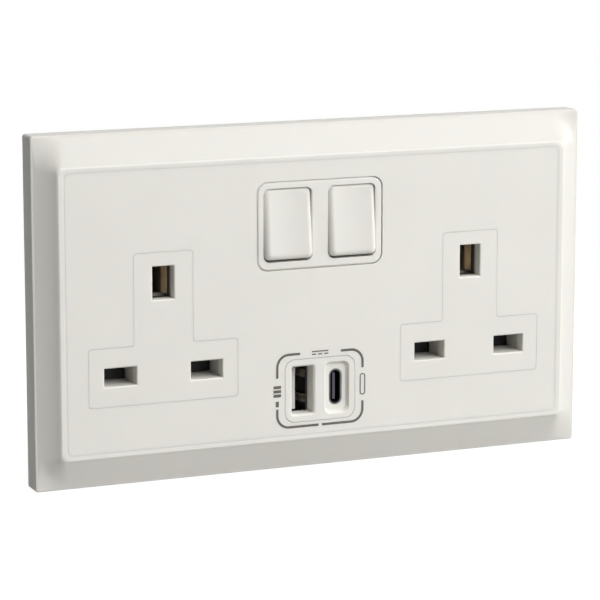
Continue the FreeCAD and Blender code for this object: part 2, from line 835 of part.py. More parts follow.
def clip_points(front, strip, middle, swap=False):
    """The section of a sprung pin clip: a root on its strip, two leaves, a pinch and a flared mouth."""
    root_y = -as_size(strip)
    mouth_y = -as_size(front)
    pinch_y = mouth_y + S.clip_lead
    thick = S.brass_thick
    upper = [
        (root_y + thick, S.clip_root + thick),
        (pinch_y, S.clip_pinch + thick),
        (mouth_y, S.clip_mouth + thick),
        (mouth_y, S.clip_mouth),
        (pinch_y, S.clip_pinch),
        (root_y, S.clip_root),
    ]
    lower = [(depth, -lateral) for depth, lateral in upper[::-1]]
    points = [(depth, middle + lateral) for depth, lateral in upper + lower]
    if swap:
        return [(across, depth) for depth, across in points]
    return points


def make_live_contact(side):
    """The fixed contact of one switch, its strip and the clip for the live pin."""
    body = new_body(f"live_contact_{side}")
    sign = -1 if side == "left" else 1
    start = SWITCHES[side] - S.strip_width / 2 * sign
    button_z = S.switch_line + S.button_reach
    clip_x = LIVE_PIN[side]
    half = S.clip_span / 2
    if side == "left":
        path = [
            (start, button_z),
            (-S.live_run, button_z),
            (-S.live_run, S.pin_line),
            (clip_x - half, S.pin_line),
        ]
    else:
        path = [
            (start, button_z),
            (S.live_run, button_z),
            (S.live_run, S.live_cross),
            (clip_x, S.live_cross),
            (clip_x, S.pin_line - S.clip_root - S.brass_thick),
        ]
    back = S.live_level - S.brass_thick
    pad(body, "strip", [ribbon(path, S.strip_width)], back, S.live_level)
    button = circle(SWITCHES[side], button_z, S.button_radius)
    pad(body, "button", [button], S.live_level, S.live_level + S.button_thick)
    section = polygon(clip_points(S.contact_level, S.live_level, S.pin_line))
    pad(body, "clip", [section], clip_x - half, clip_x + half, role="YZ_Plane")
    return body


def make_neutral_strip():
    """The strip that joins both neutral clips and runs up to the neutral terminal."""
    body = new_body("neutral_strip")
    back = S.neutral_level - S.brass_thick
    end = S.pin_line - S.clip_root - S.brass_thick
    left, right = NEUTRAL_PIN["left"], NEUTRAL_PIN["right"]
    path = [(left, end), (left, S.neutral_line), (right, S.neutral_line), (right, end)]
    pad(body, "strip", [ribbon(path, S.strip_width)], back, S.neutral_level)
    branch = ribbon([(right, S.neutral_line), (right, TERMINAL_BASE)], S.strip_width)
    pad(body, "branch", [branch], back, S.neutral_level)
    half = S.clip_span / 2
    for side, across in NEUTRAL_PIN.items():
        section = polygon(clip_points(S.contact_level, S.neutral_level, S.pin_line))
        pad(body, f"clip_{side}", [section], across - half, across + half, role="YZ_Plane")
    return body


def make_earth_strip():
    """The strip that joins both earth clips and runs up to the earth terminal."""
    body = new_body("earth_strip")
    back = S.earth_level - S.brass_thick
    reach = S.clip_root + S.brass_thick
    path = [(OUTLETS["left"] - reach, EARTH_LINE), (OUTLETS["right"] + reach, EARTH_LINE)]
    pad(body, "strip", [ribbon(path, S.strip_width)], back, S.earth_level)
    branch = ribbon([(S.earth_terminal, EARTH_LINE), (S.earth_terminal, TERMINAL_BASE)], S.strip_width)
    pad(body, "branch", [branch], back, S.earth_level)
    front = PANEL_FACE - S.earth_chute - S.earth_contact_gap
    half = S.earth_clip_height / 2
    for side, across in OUTLETS.items():
        section = polygon(clip_points(front, S.earth_level, across, swap=True))
        pad(body, f"clip_{side}", [section], EARTH_LINE - half, EARTH_LINE + half, role="XY_Plane")
    return body


def make_terminal(name, across, front):
    """A brass terminal block with a blind wire bore from above and a tapped hole from the rear."""
    body = new_body(f"terminal_{name}")
    side = S.terminal_side
    pad(body, "block", [rect(0, side / 2, side, side)], -side, 0)
    wire = circle(0, side / 2, S.wire_radius)
    pocket(body, "wire_bore", [wire], side - S.wire_depth, side, role="XY_Plane")
    tapped = circle(0, side / 2, S.screw_radius + S.screw_play)
    pocket(body, "tapped_hole", [tapped], -side, -side / 2)
    place(body, across, front, TERMINAL_BASE)
    return body


def make_terminal_screws():
    """The three slotted terminal screws, backed off so that the wire bores are open."""
    group = DOC.addObject("Part::Compound", "terminal_screws")
    screws = []
    for name, (across, front) in TERMINALS.items():
        tip = front - S.terminal_side / 2 - S.wire_radius - S.screw_play
        shank = DOC.addObject("Part::Cylinder", f"{name}_shank")
        bind(shank, Radius=S.screw_radius, Height=S.screw_length)
        place(shank, across, tip, TERMINAL_Z, Vector(-1, 0, 0), as_size(90))
        slot = DOC.addObject("Part::Box", f"{name}_slot")
        bind(slot, Length=2 * S.screw_radius, Width=S.screw_slot, Height=S.screw_slot)
        end = tip - S.screw_length + S.screw_slot
        place(slot, across - S.screw_radius, end, TERMINAL_Z - S.screw_slot / 2)
        screw = DOC.addObject("Part::Cut", f"{name}_screw")
        screw.Base = shank
        screw.Tool = slot
        screws.append(screw)
    group.Links = screws
    return keep(group, "terminal_screws")


# The shutter drops by this much when the earth pin rides down its wedge
SHUTTER_TRAVEL = S.slot_height + 2 * S.shutter_cover
SHUTTER_TOP = S.pin_line + S.slot_height / 2 + S.shutter_cover
SHUTTER_FOOT = S.pin_line - S.slot_height / 2 - S.shutter_cover
SPRING_LEVEL = SHUTTER_FACE - S.spring_radius - S.spring_wire
SPRING_FOOT = S.housing_wall - S.housing_height / 2
EARTH_CLIP_FOOT = EARTH_LINE - S.earth_clip_height / 2


def make_shutter(side, middle):
    """The shutter behind the line slots, with the wedge that the earth pin pushes down."""
    body = new_body(f"shutter_{side}")
    reach = PIN_X + S.slot_width / 2 + S.shutter_cover
    blade = rect(0, (SHUTTER_TOP + SHUTTER_FOOT) / 2, 2 * reach, SHUTTER_TOP - SHUTTER_FOOT)
    pad(body, "blade", [blade], SHUTTER_BACK, SHUTTER_FACE)
    stem_top = EARTH_CLIP_FOOT - S.shutter_cover
    stem = rect(0, (stem_top + SHUTTER_FOOT) / 2, S.shutter_stem, stem_top - SHUTTER_FOOT)
    pad(body, "stem", [stem], SHUTTER_BACK, SHUTTER_FACE)
    front_y = -SHUTTER_FACE
    ramp_foot = EARTH_LINE - S.earth_slot_height / 2
    ramp_top = ramp_foot + SHUTTER_TRAVEL
    tip_y = front_y + SHUTTER_TRAVEL
    wedge = polygon(
        [
            (front_y, stem_top - S.shutter_stem),
            (front_y, ramp_foot),
            (tip_y, ramp_top),
            (tip_y + S.wedge_back, ramp_top),
            (tip_y + S.wedge_back, ramp_top - SHUTTER_TRAVEL / 2),
            (-SHUTTER_BACK, stem_top - S.shutter_stem),
        ]
    )
    half = S.wedge_width / 2
    pad(body, "wedge", [wedge], -half, half, role="YZ_Plane")
    seat = rect(0, SHUTTER_FOOT + S.shutter_thick / 2, 2 * S.spring_radius, S.shutter_thick)
    pad(body, "spring_seat", [seat], SPRING_LEVEL - S.spring_radius, SHUTTER_BACK)
    place(body, across=middle)
    return body


def make_shutter_spring(side, middle):
    """The coil that pushes the shutter up, standing on the housing's lower wall."""
    length = SHUTTER_FOOT - SPRING_FOOT - 2 * S.spring_wire
    spring = make_spring(f"shutter_spring_{side}", S.spring_radius, length, S.spring_turns)
    place(spring, middle, SPRING_LEVEL, SPRING_FOOT + S.spring_wire)
    return spring


def make_support_frame():
    """The carrier on the wall: windows for the inserts, fixing holes, pillars and shutter guides."""
    body = new_body("support_frame")
    pad(body, "plate", [rect(0, 0, 2 * SUPPORT_X, 2 * SUPPORT_Z, S.lip_corner)], 0, SUPPORT_FACE)
    rib_x = PANEL_X - S.panel_skirt - S.rib_gap
    rib_z = PANEL_Z - S.panel_skirt - S.rib_gap
    rib = [
        rect(0, 0, 2 * rib_x, 2 * rib_z, S.lip_corner),
        rect(0, 0, 2 * (rib_x - S.rib_width), 2 * (rib_z - S.rib_width), S.lip_corner),
    ]
    pad(body, "locating_rib", rib, SUPPORT_FACE, SUPPORT_FACE + S.rib_rise)
    pad(body, "pillars", [circle(x, z, S.boss_radius) for x, z in BOSSES], S.boss_level, 0)
    pilot = S.fastener_radius + S.screw_play
    pocket(body, "pilot_holes", [circle(x, z, pilot) for x, z in BOSSES], S.boss_level, -S.support_thick)

    guide_x = S.shutter_stem / 2 + S.shutter_gap + S.guide_width / 2
    guide_top = EARTH_CLIP_FOOT - S.shutter_cover - S.shutter_travel_room
    guide_foot = SHUTTER_TOP + S.shutter_cover
    guides = []
    windows = []
    grow = 2 * (S.chute_wall + S.chute_gap)
    for middle in OUTLETS.values():
        for sign in (-1, 1):
            x = middle + guide_x * sign
            guides.append(rect(x, (guide_top + guide_foot) / 2, S.guide_width, guide_top - guide_foot))
            pin_x = middle + PIN_X * sign
            windows.append(rect(pin_x, S.pin_line, S.slot_width + grow, S.slot_height + grow))
        earth_width = 2 * (S.clip_mouth + S.brass_thick + S.earth_contact_gap)
        earth_height = S.earth_clip_height + 2 * S.earth_contact_gap
        windows.append(rect(middle, EARTH_LINE, earth_width, earth_height))
    for middle in SWITCHES.values():
        swing = 2 * (S.stem_radius + S.stem_reach * sine(S.rocker_tilt) + S.rocker_end_gap)
        windows.append(rect(middle, S.switch_line, swing, swing))
    inner_x = S.usb_width - 2 * S.usb_wall
    inner_z = USB_HEIGHT - 2 * S.usb_wall
    windows.append(rect(0, USB_LINE, inner_x, inner_z))
    pad(body, "shutter_guides", guides, SHUTTER_BACK, 0)
    pocket(body, "windows", windows, 0, SUPPORT_FACE)
    fixings = [circle(S.fixing_spacing / 2 * sign, 0, S.fixing_radius) for sign in (-1, 1)]
    pocket(body, "fixing_holes", fixings, 0, SUPPORT_FACE)
    notch_z = SUPPORT_Z - S.snap_nib / 2
    notches = [
        rect(S.snap_spacing / 2 * x, notch_z * z, S.snap_width + 2 * S.snap_gap, S.snap_nib)
        for x in (-1, 1)
        for z in (-1, 1)
    ]
    pocket(body, "clip_notches", notches, 0, 2 * S.snap_gap + S.snap_nib)
    return body


def housing_points(inset):
    """The outline of the housing, notched at the middle of each end to clear the box's lugs."""
    x = HOUSING_X - inset
    z = HOUSING_Z - inset
    notch_x = x - S.lug_notch
    notch_z = S.lug_height / 2 + inset
    right = [(x, -z), (x, -notch_z), (notch_x, -notch_z), (notch_x, notch_z), (x, notch_z), (x, z)]
    left = [(-across, up) for across, up in right[::-1]]
    return right + left


def make_rear_housing():
    """The tub behind the wall: bosses, posts under each strip, wire holes and driver holes."""
    body = new_body("rear_housing")
    back = -S.housing_depth
    pad(body, "tub", [rounded(housing_points(WALL), S.housing_corner)], back, 0)
    pocket(body, "hollow", [rounded(housing_points(S.housing_wall), S.housing_corner)], FLOOR, 0)
    pad(body, "bosses", [circle(x, z, S.boss_radius) for x, z in BOSSES], back, S.boss_level)

    # Posts stand on the floor under each strip, named by the level that they reach
    thick = S.brass_thick
    seesaw_drop = S.seesaw_length / 2 * sine(S.seesaw_tilt)
    stop_level = SEESAW_AXIS + S.contact_play - seesaw_drop - S.seesaw_stop_gap
    stop_z = S.switch_line - S.seesaw_length / 2 + S.post_side / 2
    board_x = S.board_width / 2 - S.post_side / 2
    live_left, live_right = LIVE_PIN["left"], LIVE_PIN["right"]
    neutral_left, neutral_right = NEUTRAL_PIN["left"], NEUTRAL_PIN["right"]
    between = (EARTH_LINE + S.switch_line) / 2
    posts = {
        "feed": (S.feed_level - thick, [(x, S.switch_line) for x in SWITCHES.values()]),
        "stop": (stop_level, [(x, stop_z) for x in SWITCHES.values()]),
        "live": (
            S.live_level - thick,
            [
                (live_left, S.pin_line),
                (live_right, S.pin_line),
                (live_right, S.live_cross),
                (-S.live_run, between + S.post_side),
                (-S.live_run, S.pin_line),
                (S.live_run, S.live_cross),
            ],
        ),
        "earth": (
            S.earth_level - thick,
            [(x, EARTH_LINE) for x in (*OUTLETS.values(), *SWITCHES.values())],
        ),
        "neutral": (
            S.neutral_level - thick,
            [
                (neutral_left, S.pin_line),
                (neutral_right, S.pin_line),
                (SWITCHES["left"], S.neutral_line),
                (SWITCHES["right"], S.neutral_line),
            ],
        ),
        "board": (
            S.board_level - S.board_thick,
            [
                (board_x * x, z)
                for x in (-1, 1)
                for z in (BOARD_FOOT + S.post_side, S.board_top - S.post_side)
            ],
        ),
    }
    for name, (level, spots) in posts.items():
        loops = [rect(x, z, S.post_side, S.post_side) for x, z in spots]
        pad(body, f"posts_{name}", loops, FLOOR, level)

    head_hole = S.fastener_head + S.head_play
    pocket(body, "screw_holes", [circle(x, z, S.boss_hole) for x, z in BOSSES], back, S.boss_level)
    head_level = back + S.head_thick + S.head_play
    pocket(body, "screw_seats", [circle(x, z, head_hole) for x, z in BOSSES], back, head_level)
    drivers = [circle(x, TERMINAL_Z, S.driver_radius) for x, _ in TERMINALS.values()]
    pocket(body, "driver_holes", drivers, back, FLOOR)

    # Each terminal's wire comes in through a bay that is open above and to the rear
    terminal_top = TERMINAL_BASE + S.terminal_side
    for name, (x, front) in TERMINALS.items():
        bay = rect(x, (terminal_top + HOUSING_Z) / 2, S.bay_width, HOUSING_Z - terminal_top)
        pocket(body, f"wire_bay_{name}", [bay], back, front - S.terminal_side / 2 + S.bay_room)
    return body


def make_housing_screws():
    """The four screws that hold the housing to the support frame from the rear."""
    group = DOC.addObject("Part::Compound", "housing_screws")
    head_front = S.head_thick + S.head_play - S.housing_depth
    screws = []
    for number, (across, up) in enumerate(BOSSES):
        head = DOC.addObject("Part::Cylinder", f"screw_head_{number}")
        bind(head, Radius=S.fastener_head, Height=S.head_thick)
        place(head, across, head_front, up, Vector(-1, 0, 0), as_size(90))
        shank = DOC.addObject("Part::Cylinder", f"screw_shank_{number}")
        shank_front = -(S.support_thick + S.shutter_gap)
        bind(shank, Radius=S.fastener_radius, Height=shank_front - head_front + S.head_thick / 2)
        place(shank, across, shank_front, up, Vector(-1, 0, 0), as_size(90))
        screw = DOC.addObject("Part::Fuse", f"screw_{number}")
        screw.Base = head
        screw.Tool = shank
        screws.append(screw)
    group.Links = screws
    return keep(group, "housing_screws")


USB_INNER = PANEL_FACE - S.usb_face
BOARD_FOOT = S.housing_wall + S.board_gap - S.housing_height / 2


def make_usb_fascia():
    """The block round both USB ports: a plain aperture and a stadium recess, hollow behind."""
    body = new_body("usb_fascia")
    outline = rect(0, USB_LINE, S.usb_width, USB_HEIGHT, S.usb_corner)
    pad(body, "block", [outline], SUPPORT_FACE, PANEL_FACE)
    grow = 2 * S.island_flange
    flange = rect(0, USB_LINE, S.usb_width + grow, USB_HEIGHT + grow, S.usb_corner)
    pad(body, "flange", [flange], FLANGE_BACK, PANEL_BACK)
    inner = rect(0, USB_LINE, S.usb_width - 2 * S.usb_wall, USB_HEIGHT - 2 * S.usb_wall)
    pocket(body, "hollow", [inner], SUPPORT_FACE, USB_INNER)
    aperture = rect(PORT_A_X, USB_LINE, S.port_a_width, S.port_a_height, S.port_a_corner)
    opened = pocket(body, "aperture_a", [aperture], USB_INNER, PANEL_FACE)
    DOC.recompute()

    def in_aperture(box):
        half = S.port_a_width.value / 2 + CLOSE
        return abs(box.XMin - PORT_A_X.value) < half and abs(box.XMax - PORT_A_X.value) < half

    chamfer(body, "lead_in_a", opened, edges_at(opened.Shape, PANEL_FACE.value, in_aperture), S.port_a_lead)
    recess = rect(PORT_C_X, USB_LINE, S.port_c_width, PORT_C_HEIGHT, S.port_c_corner)
    pocket(body, "recess_c", [recess], PANEL_FACE - S.port_c_recess, PANEL_FACE)
    mouth = stadium(PORT_C_X, S.shell_c_width + 2 * S.shell_gap, S.shell_c_height + 2 * S.shell_gap)
    pocket(body, "mouth_c", [mouth], USB_INNER, PANEL_FACE - S.port_c_recess)
    return body


def stadium(across, width, height):
    """An upright outline with nearly round ends, about the line of the USB ports."""
    return rect(across, USB_LINE, width, height, (width - S.shell_c_flat) / 2)


def make_usb_a_shell():
    """The sheet-metal shell of the USB-A port."""
    body = new_body("usb_a_shell")
    top = USB_INNER - S.shell_gap
    outer = rect(PORT_A_X, USB_LINE, S.shell_a_width, SHELL_A_HEIGHT)
    inner = rect(PORT_A_X, USB_LINE, S.shell_a_width - 2 * S.shell_wall, SHELL_A_HEIGHT - 2 * S.shell_wall)
    pad(body, "shell", [outer, inner], S.board_level, top)
    return body


def make_usb_a_tongue():
    """The plastic tongue of the USB-A port on its base."""
    body = new_body("usb_a_tongue")
    width = S.shell_a_width - 2 * S.shell_wall
    height = SHELL_A_HEIGHT - 2 * S.shell_wall
    root_level = S.board_level + S.tongue_root
    pad(body, "base", [rect(PORT_A_X, USB_LINE, width, height)], S.board_level, root_level)
    tongue = rect(PORT_A_X + S.tongue_a_shift, USB_LINE, S.tongue_a_thick, TONGUE_A_HEIGHT)
    top = USB_INNER - S.shell_gap - S.tongue_a_inset
    pad(body, "tongue", [tongue], root_level, top)
    return body


def make_usb_c_shell():
    """The drawn metal shell of the USB-C port, its mouth in the floor of the recess."""
    body = new_body("usb_c_shell")
    top = PANEL_FACE - S.port_c_recess - S.shell_gap
    outer = stadium(PORT_C_X, S.shell_c_width, S.shell_c_height)
    inner = stadium(PORT_C_X, S.shell_c_width - 2 * S.shell_wall, S.shell_c_height - 2 * S.shell_wall)
    pad(body, "shell", [outer, inner], S.board_level, top)
    return body


def make_usb_c_tongue():
    """The thin middle tongue of the USB-C port on its base."""
    body = new_body("usb_c_tongue")
    base = stadium(PORT_C_X, S.shell_c_width - 2 * S.shell_wall, S.shell_c_height - 2 * S.shell_wall)
    root_level = S.board_level + S.tongue_root
    pad(body, "base", [base], S.board_level, root_level)
    tongue = rect(PORT_C_X, USB_LINE, S.tongue_c_thick, S.tongue_c_height)
    top = PANEL_FACE - S.port_c_recess - S.shell_gap - S.tongue_c_inset
    pad(body, "tongue", [tongue], root_level, top)
    return body


def make_usb_board():
    """The supply's circuit board, on four posts of the housing."""
    body = new_body("usb_board")
    middle = (BOARD_FOOT + S.board_top) / 2
    board = rect(0, middle, S.board_width, S.board_top - BOARD_FOOT)
    pad(body, "board", [board], S.board_level - S.board_thick, S.board_level)
    return body


def make_usb_transformer():
    """The small transformer behind the board: a core block inside a narrower winding."""
    body = new_body("usb_transformer")
    back = S.board_level - S.board_thick
    middle = S.board_top - S.transformer_height / 2 - S.board_gap
    across = PORT_C_X
    core = rect(across, middle, S.transformer_width, S.core_height)
    pad(body, "core", [core], back - S.transformer_depth, back)
    winding = rect(across, middle, S.winding_width, S.transformer_height, S.winding_round)
    pad(body, "winding", [winding], back - S.transformer_depth + S.winding_step, back)
    return body


def make_usb_capacitor():
    """The smoothing capacitor behind the board, a can with a bevelled end."""
    body = new_body("usb_capacitor")
    back = S.board_level - S.board_thick
    can = circle(PORT_A_X, USB_LINE + S.capacitor_radius, S.capacitor_radius)
    made = pad(body, "can", [can], back - S.capacitor_depth, back)
    DOC.recompute()
    end_level = (back - S.capacitor_depth).value
    chamfer(body, "can_end", made, edges_at(made.Shape, end_level), S.capacitor_bevel)
    return body


def build():
    """Makes every sub-part."""
    make_outer_frame()
    make_front_panel()
    for side, middle in OUTLETS.items():
        make_outlet_insert(side, middle)
        make_shutter(side, middle)
        make_shutter_spring(side, middle)
    make_switch_bezel()
    for side, middle in SWITCHES.items():
        make_rocker(side, middle)
        make_plunger(side, middle)
        make_plunger_spring(side, middle)
        make_moving_contact(side, middle)
        make_live_contact(side)
    make_live_feed_bar()
    make_neutral_strip()
    make_earth_strip()
    for name, (across, front) in TERMINALS.items():
        make_terminal(name, across, front)
    make_terminal_screws()
    make_support_frame()
    make_rear_housing()
    make_housing_screws()
    make_usb_fascia()
    make_usb_a_shell()
    make_usb_a_tongue()
    make_usb_c_shell()
    make_usb_c_tongue()
    make_usb_board()
    make_usb_transformer()
    make_usb_capacitor()


def cut_volume(feature):
    """How much a cut takes away."""
    return feature.BaseFeature.Shape.Volume - feature.Shape.Volume


def check():
    """Stops if any object failed, any sub-part is not valid, or any cut took nothing away."""
    for thing in DOC.Objects:
        bad = [state for state in thing.State if state in ("Invalid", "Error")]
        if bad:
            raise RuntimeError(f"{thing.Name} is {bad}")
        if thing.TypeId == "PartDesign::Pocket" and cut_volume(thing) < CLOSE:
            raise RuntimeError(f"{thing.Name} cuts nothing")
    for node in NODES:
        if node.Shape.isNull() or not node.Shape.isValid():
            raise RuntimeError(f"{node.Label} has no valid shape")


def export():
    """Writes each sub-part to a file of its own name."""
    os.makedirs("parts", exist_ok=True)
    for node in NODES:
        node.Shape.exportStep(f"parts/{node.Label}.step")
        print(node.Label, len(node.Shape.Solids), round(node.Shape.Volume, 2))


build()
DOC.recompute()
check()
export()
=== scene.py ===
# %% [markdown]
# # A wall socket with two outlets and two USB ports
# The object is a moulded plate for two plugs: a flared frame, an inset panel, two T-shaped outlet
# fronts, two rockers and a small block with two USB ports. The measured solids come in first, as
# the fixed frame, and everything here is laid over them: X to the right, Y into the wall and Z up,
# with the middle of the plate at the origin. Blender works in metres. The sizes here are written
# in millimetres, and MM turns them into metres.

# %% The measured solids
import math

import bmesh
import bpy
import numpy as np
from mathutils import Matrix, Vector


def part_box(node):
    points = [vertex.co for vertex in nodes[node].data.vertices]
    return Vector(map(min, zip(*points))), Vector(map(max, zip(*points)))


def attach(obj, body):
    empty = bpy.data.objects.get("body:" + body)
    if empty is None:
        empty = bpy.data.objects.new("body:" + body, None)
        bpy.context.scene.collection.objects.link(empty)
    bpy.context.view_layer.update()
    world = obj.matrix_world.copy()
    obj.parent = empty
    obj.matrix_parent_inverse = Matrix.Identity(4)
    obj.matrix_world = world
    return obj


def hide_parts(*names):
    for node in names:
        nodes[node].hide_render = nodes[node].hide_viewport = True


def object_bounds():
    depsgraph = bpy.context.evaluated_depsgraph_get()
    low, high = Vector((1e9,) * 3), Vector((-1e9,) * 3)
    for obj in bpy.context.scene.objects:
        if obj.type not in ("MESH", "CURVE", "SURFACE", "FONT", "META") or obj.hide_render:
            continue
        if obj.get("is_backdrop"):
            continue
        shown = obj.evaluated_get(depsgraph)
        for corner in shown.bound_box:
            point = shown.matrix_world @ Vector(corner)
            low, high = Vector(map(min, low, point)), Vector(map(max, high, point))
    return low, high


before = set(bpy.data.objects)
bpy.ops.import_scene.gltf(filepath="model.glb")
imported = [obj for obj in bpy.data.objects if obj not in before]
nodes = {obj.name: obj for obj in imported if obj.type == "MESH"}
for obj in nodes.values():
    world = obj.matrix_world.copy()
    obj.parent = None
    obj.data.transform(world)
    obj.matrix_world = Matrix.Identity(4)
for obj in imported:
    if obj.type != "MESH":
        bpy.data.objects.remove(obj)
cad_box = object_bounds()
MM = 0.001

# %% [markdown]
# ## From a grid of points to a mesh
# Each new form is a function of two parameters. It could be pushed and pulled by hand, but then no
# size could be changed later. So numpy works out the whole grid of points at once, and one helper
# makes the faces. A grid can close on itself along either parameter, so a ring section carried
# round the plate is one watertight skin.

# %% Grid to mesh
def grid_faces(rows, columns, close_rows, close_columns, first=0):
    """The corner numbers of the squares between neighbouring rows and columns."""
    row = np.arange(rows if close_rows else rows - 1)
    column = np.arange(columns if close_columns else columns - 1)
    r, c = np.meshgrid(row, column, indexing="ij")
    r2, c2 = (r + 1) % rows, (c + 1) % columns
    corners = [r * columns + c, r * columns + c2, r2 * columns + c2, r2 * columns + c]
    return np.stack(corners, axis=-1).reshape(-1, 4) + first


def mesh_object(name, points, faces, finish):
    """An object at the origin whose mesh has these points, in millimetres, and these faces."""
    mesh = bpy.data.meshes.new(name)
    mesh.from_pydata((np.asarray(points, float) * MM).tolist(), [], [list(f) for f in faces])
    mesh.update()
    made = bpy.data.objects.new(name, mesh)
    bpy.context.scene.collection.objects.link(made)
    made.data.materials.append(finish)
    return made


print("squares in a closed grid of 4 by 6", len(grid_faces(4, 6, True, True)))

# %% Clean and smooth skins
def face_outwards(mesh):
    """Merges doubled points and turns every face outwards."""
    work = bmesh.new()
    work.from_mesh(mesh)
    bmesh.ops.remove_doubles(work, verts=work.verts, dist=1e-7)
    bmesh.ops.recalc_face_normals(work, faces=work.faces)
    work.to_mesh(mesh)
    work.free()
    mesh.update()


def smooth_between(mesh, degrees):
    """Shades the faces smooth and keeps the edges sharp that turn by more than the angle."""
    mesh.polygons.foreach_set("use_smooth", np.ones(len(mesh.polygons), bool))
    mesh.set_sharp_from_angle(angle=math.radians(degrees))
    mesh.update()


def triangle_count(thing):
    """The triangles of a piece as it is seen, with its modifiers."""
    seen = thing.evaluated_get(bpy.context.evaluated_depsgraph_get()).data
    seen.calc_loop_triangles()
    return len(seen.loop_triangles)


print("triangles of the measured panel", triangle_count(nodes["front_panel"]))

# %% [markdown]
# ## Moulded plastic
# The real plate is a warm white urea plastic with a satin skin. Up close the skin isn't flat: the
# mould leaves a very fine grain, and the gloss wanders a little. One flat colour would look like
# paper, and a picture of a surface would stretch. So one function makes the finish of every
# moulded piece from three noises: one for the tint, one for the gloss and a fine one for the
# grain. Pale plastic also lets light in a little way, which softens its edges.

# %% The parts of a finish
def new_finish(name):
    """A new material, its node tree and its main shader."""
    made = bpy.data.materials.new(name)
    made.use_nodes = True
    tree = made.node_tree
    return made, tree, tree.nodes["Principled BSDF"]


def noise_of(tree, waves, detail, stretch=None):
    """A noise on the piece's own coordinates, in waves for each metre, which stretch can scale."""
    place = tree.nodes.new("ShaderNodeTexCoord").outputs["Object"]
    if stretch:
        scaled = tree.nodes.new("ShaderNodeMapping")
        scaled.inputs["Scale"].default_value = stretch
        tree.links.new(place, scaled.inputs["Vector"])
        place = scaled.outputs["Vector"]
    noise = tree.nodes.new("ShaderNodeTexNoise")
    noise.inputs["Scale"].default_value = waves
    noise.inputs["Detail"].default_value = detail
    tree.links.new(place, noise.inputs["Vector"])
    return noise.outputs["Fac"]


NOISE_LOW, NOISE_HIGH = 0.3, 0.7


def spread(tree, value, low, high):
    """Maps a noise's middle range onto low to high."""
    node = tree.nodes.new("ShaderNodeMapRange")
    node.inputs["From Min"].default_value = NOISE_LOW
    node.inputs["From Max"].default_value = NOISE_HIGH
    node.inputs["To Min"].default_value = low
    node.inputs["To Max"].default_value = high
    tree.links.new(value, node.inputs["Value"])
    return node.outputs["Result"]


def tint_between(tree, value, first, second):
    """Blends two colours by a value."""
    node = tree.nodes.new("ShaderNodeMix")
    node.data_type = "RGBA"
    node.inputs["A"].default_value = (*first, 1)
    node.inputs["B"].default_value = (*second, 1)
    tree.links.new(value, node.inputs["Factor"])
    return node.outputs["Result"]


def bump_from(tree, shader, value, height, strength):
    """Lets a value raise the surface by up to the height, in millimetres."""
    node = tree.nodes.new("ShaderNodeBump")
    node.inputs["Distance"].default_value = height * MM
    node.inputs["Strength"].default_value = strength
    tree.links.new(value, node.inputs["Height"])
    tree.links.new(node.outputs["Normal"], shader.inputs["Normal"])


print("a noise is read from", NOISE_LOW, "to", NOISE_HIGH)

# %% Plastic finish
TINT_WAVES, GLOSS_WAVES, GRAIN_WAVES = 60.0, 420.0, 2600.0
TINT_CHANGE, GRAIN_STRENGTH = 0.025, 0.35
PALE = 0.55
GLOW_SHARE, GLOW_OF_RED_GREEN_BLUE = 0.35, (1.0, 0.92, 0.75)


def plastic(name, colour, rough, grain=GRAIN_WAVES, height=0.012, glow=1.1):
    """Satin moulded plastic: a slow tint noise, a gloss noise and the mould's fine grain.

    The grain's height and the depth that light reaches in a pale one, glow, are in millimetres.
    """
    made, tree, shader = new_finish(name)
    darker = tuple(c * (1 - TINT_CHANGE) for c in colour)
    tint = spread(tree, noise_of(tree, TINT_WAVES, 4.0), 0.0, 1.0)
    tree.links.new(tint_between(tree, tint, darker, colour), shader.inputs["Base Color"])
    gloss = spread(tree, noise_of(tree, GLOSS_WAVES, 3.0), rough - 0.03, rough + 0.04)
    tree.links.new(gloss, shader.inputs["Roughness"])
    bump_from(tree, shader, noise_of(tree, grain, 2.0), height, GRAIN_STRENGTH)
    shader.inputs["IOR"].default_value = 1.5
    shader.inputs["Specular IOR Level"].default_value = 0.36
    if min(colour) > PALE:
        shader.inputs["Subsurface Weight"].default_value = GLOW_SHARE
        shader.inputs["Subsurface Radius"].default_value = GLOW_OF_RED_GREEN_BLUE
        shader.inputs["Subsurface Scale"].default_value = glow * MM
    return made


IVORY = (0.815, 0.80, 0.752)
ivory_frame = plastic("ivory_frame", (0.82, 0.805, 0.757), 0.42)
ivory_panel = plastic("ivory_panel", IVORY, 0.46)
ivory_insert = plastic("ivory_insert", IVORY, 0.44)
ivory_outlet = plastic("ivory_outlet", IVORY, 0.44)
ivory_bezel = plastic("ivory_bezel", (0.825, 0.81, 0.762), 0.44, glow=1.4)
ivory_rocker = plastic("ivory_rocker", (0.77, 0.755, 0.71), 0.44, height=0.006, glow=1.8)
carrier_grey = plastic("carrier_grey", (0.42, 0.42, 0.41), 0.55)
housing_grey = plastic("housing_grey", (0.60, 0.60, 0.585), 0.50)
shutter_black = plastic("shutter_black", (0.016, 0.016, 0.017), 0.48)
insulator_violet = plastic("insulator_violet", (0.075, 0.068, 0.085), 0.42)
insulator_pale = plastic("insulator_pale", (0.62, 0.61, 0.59), 0.42)
plunger_white = plastic("plunger_white", (0.70, 0.70, 0.69), 0.38)
core_black = plastic("core_black", (0.035, 0.035, 0.038), 0.62, grain=1400.0, height=0.03)
print("grain of the plastic", GRAIN_WAVES, "waves for each metre")
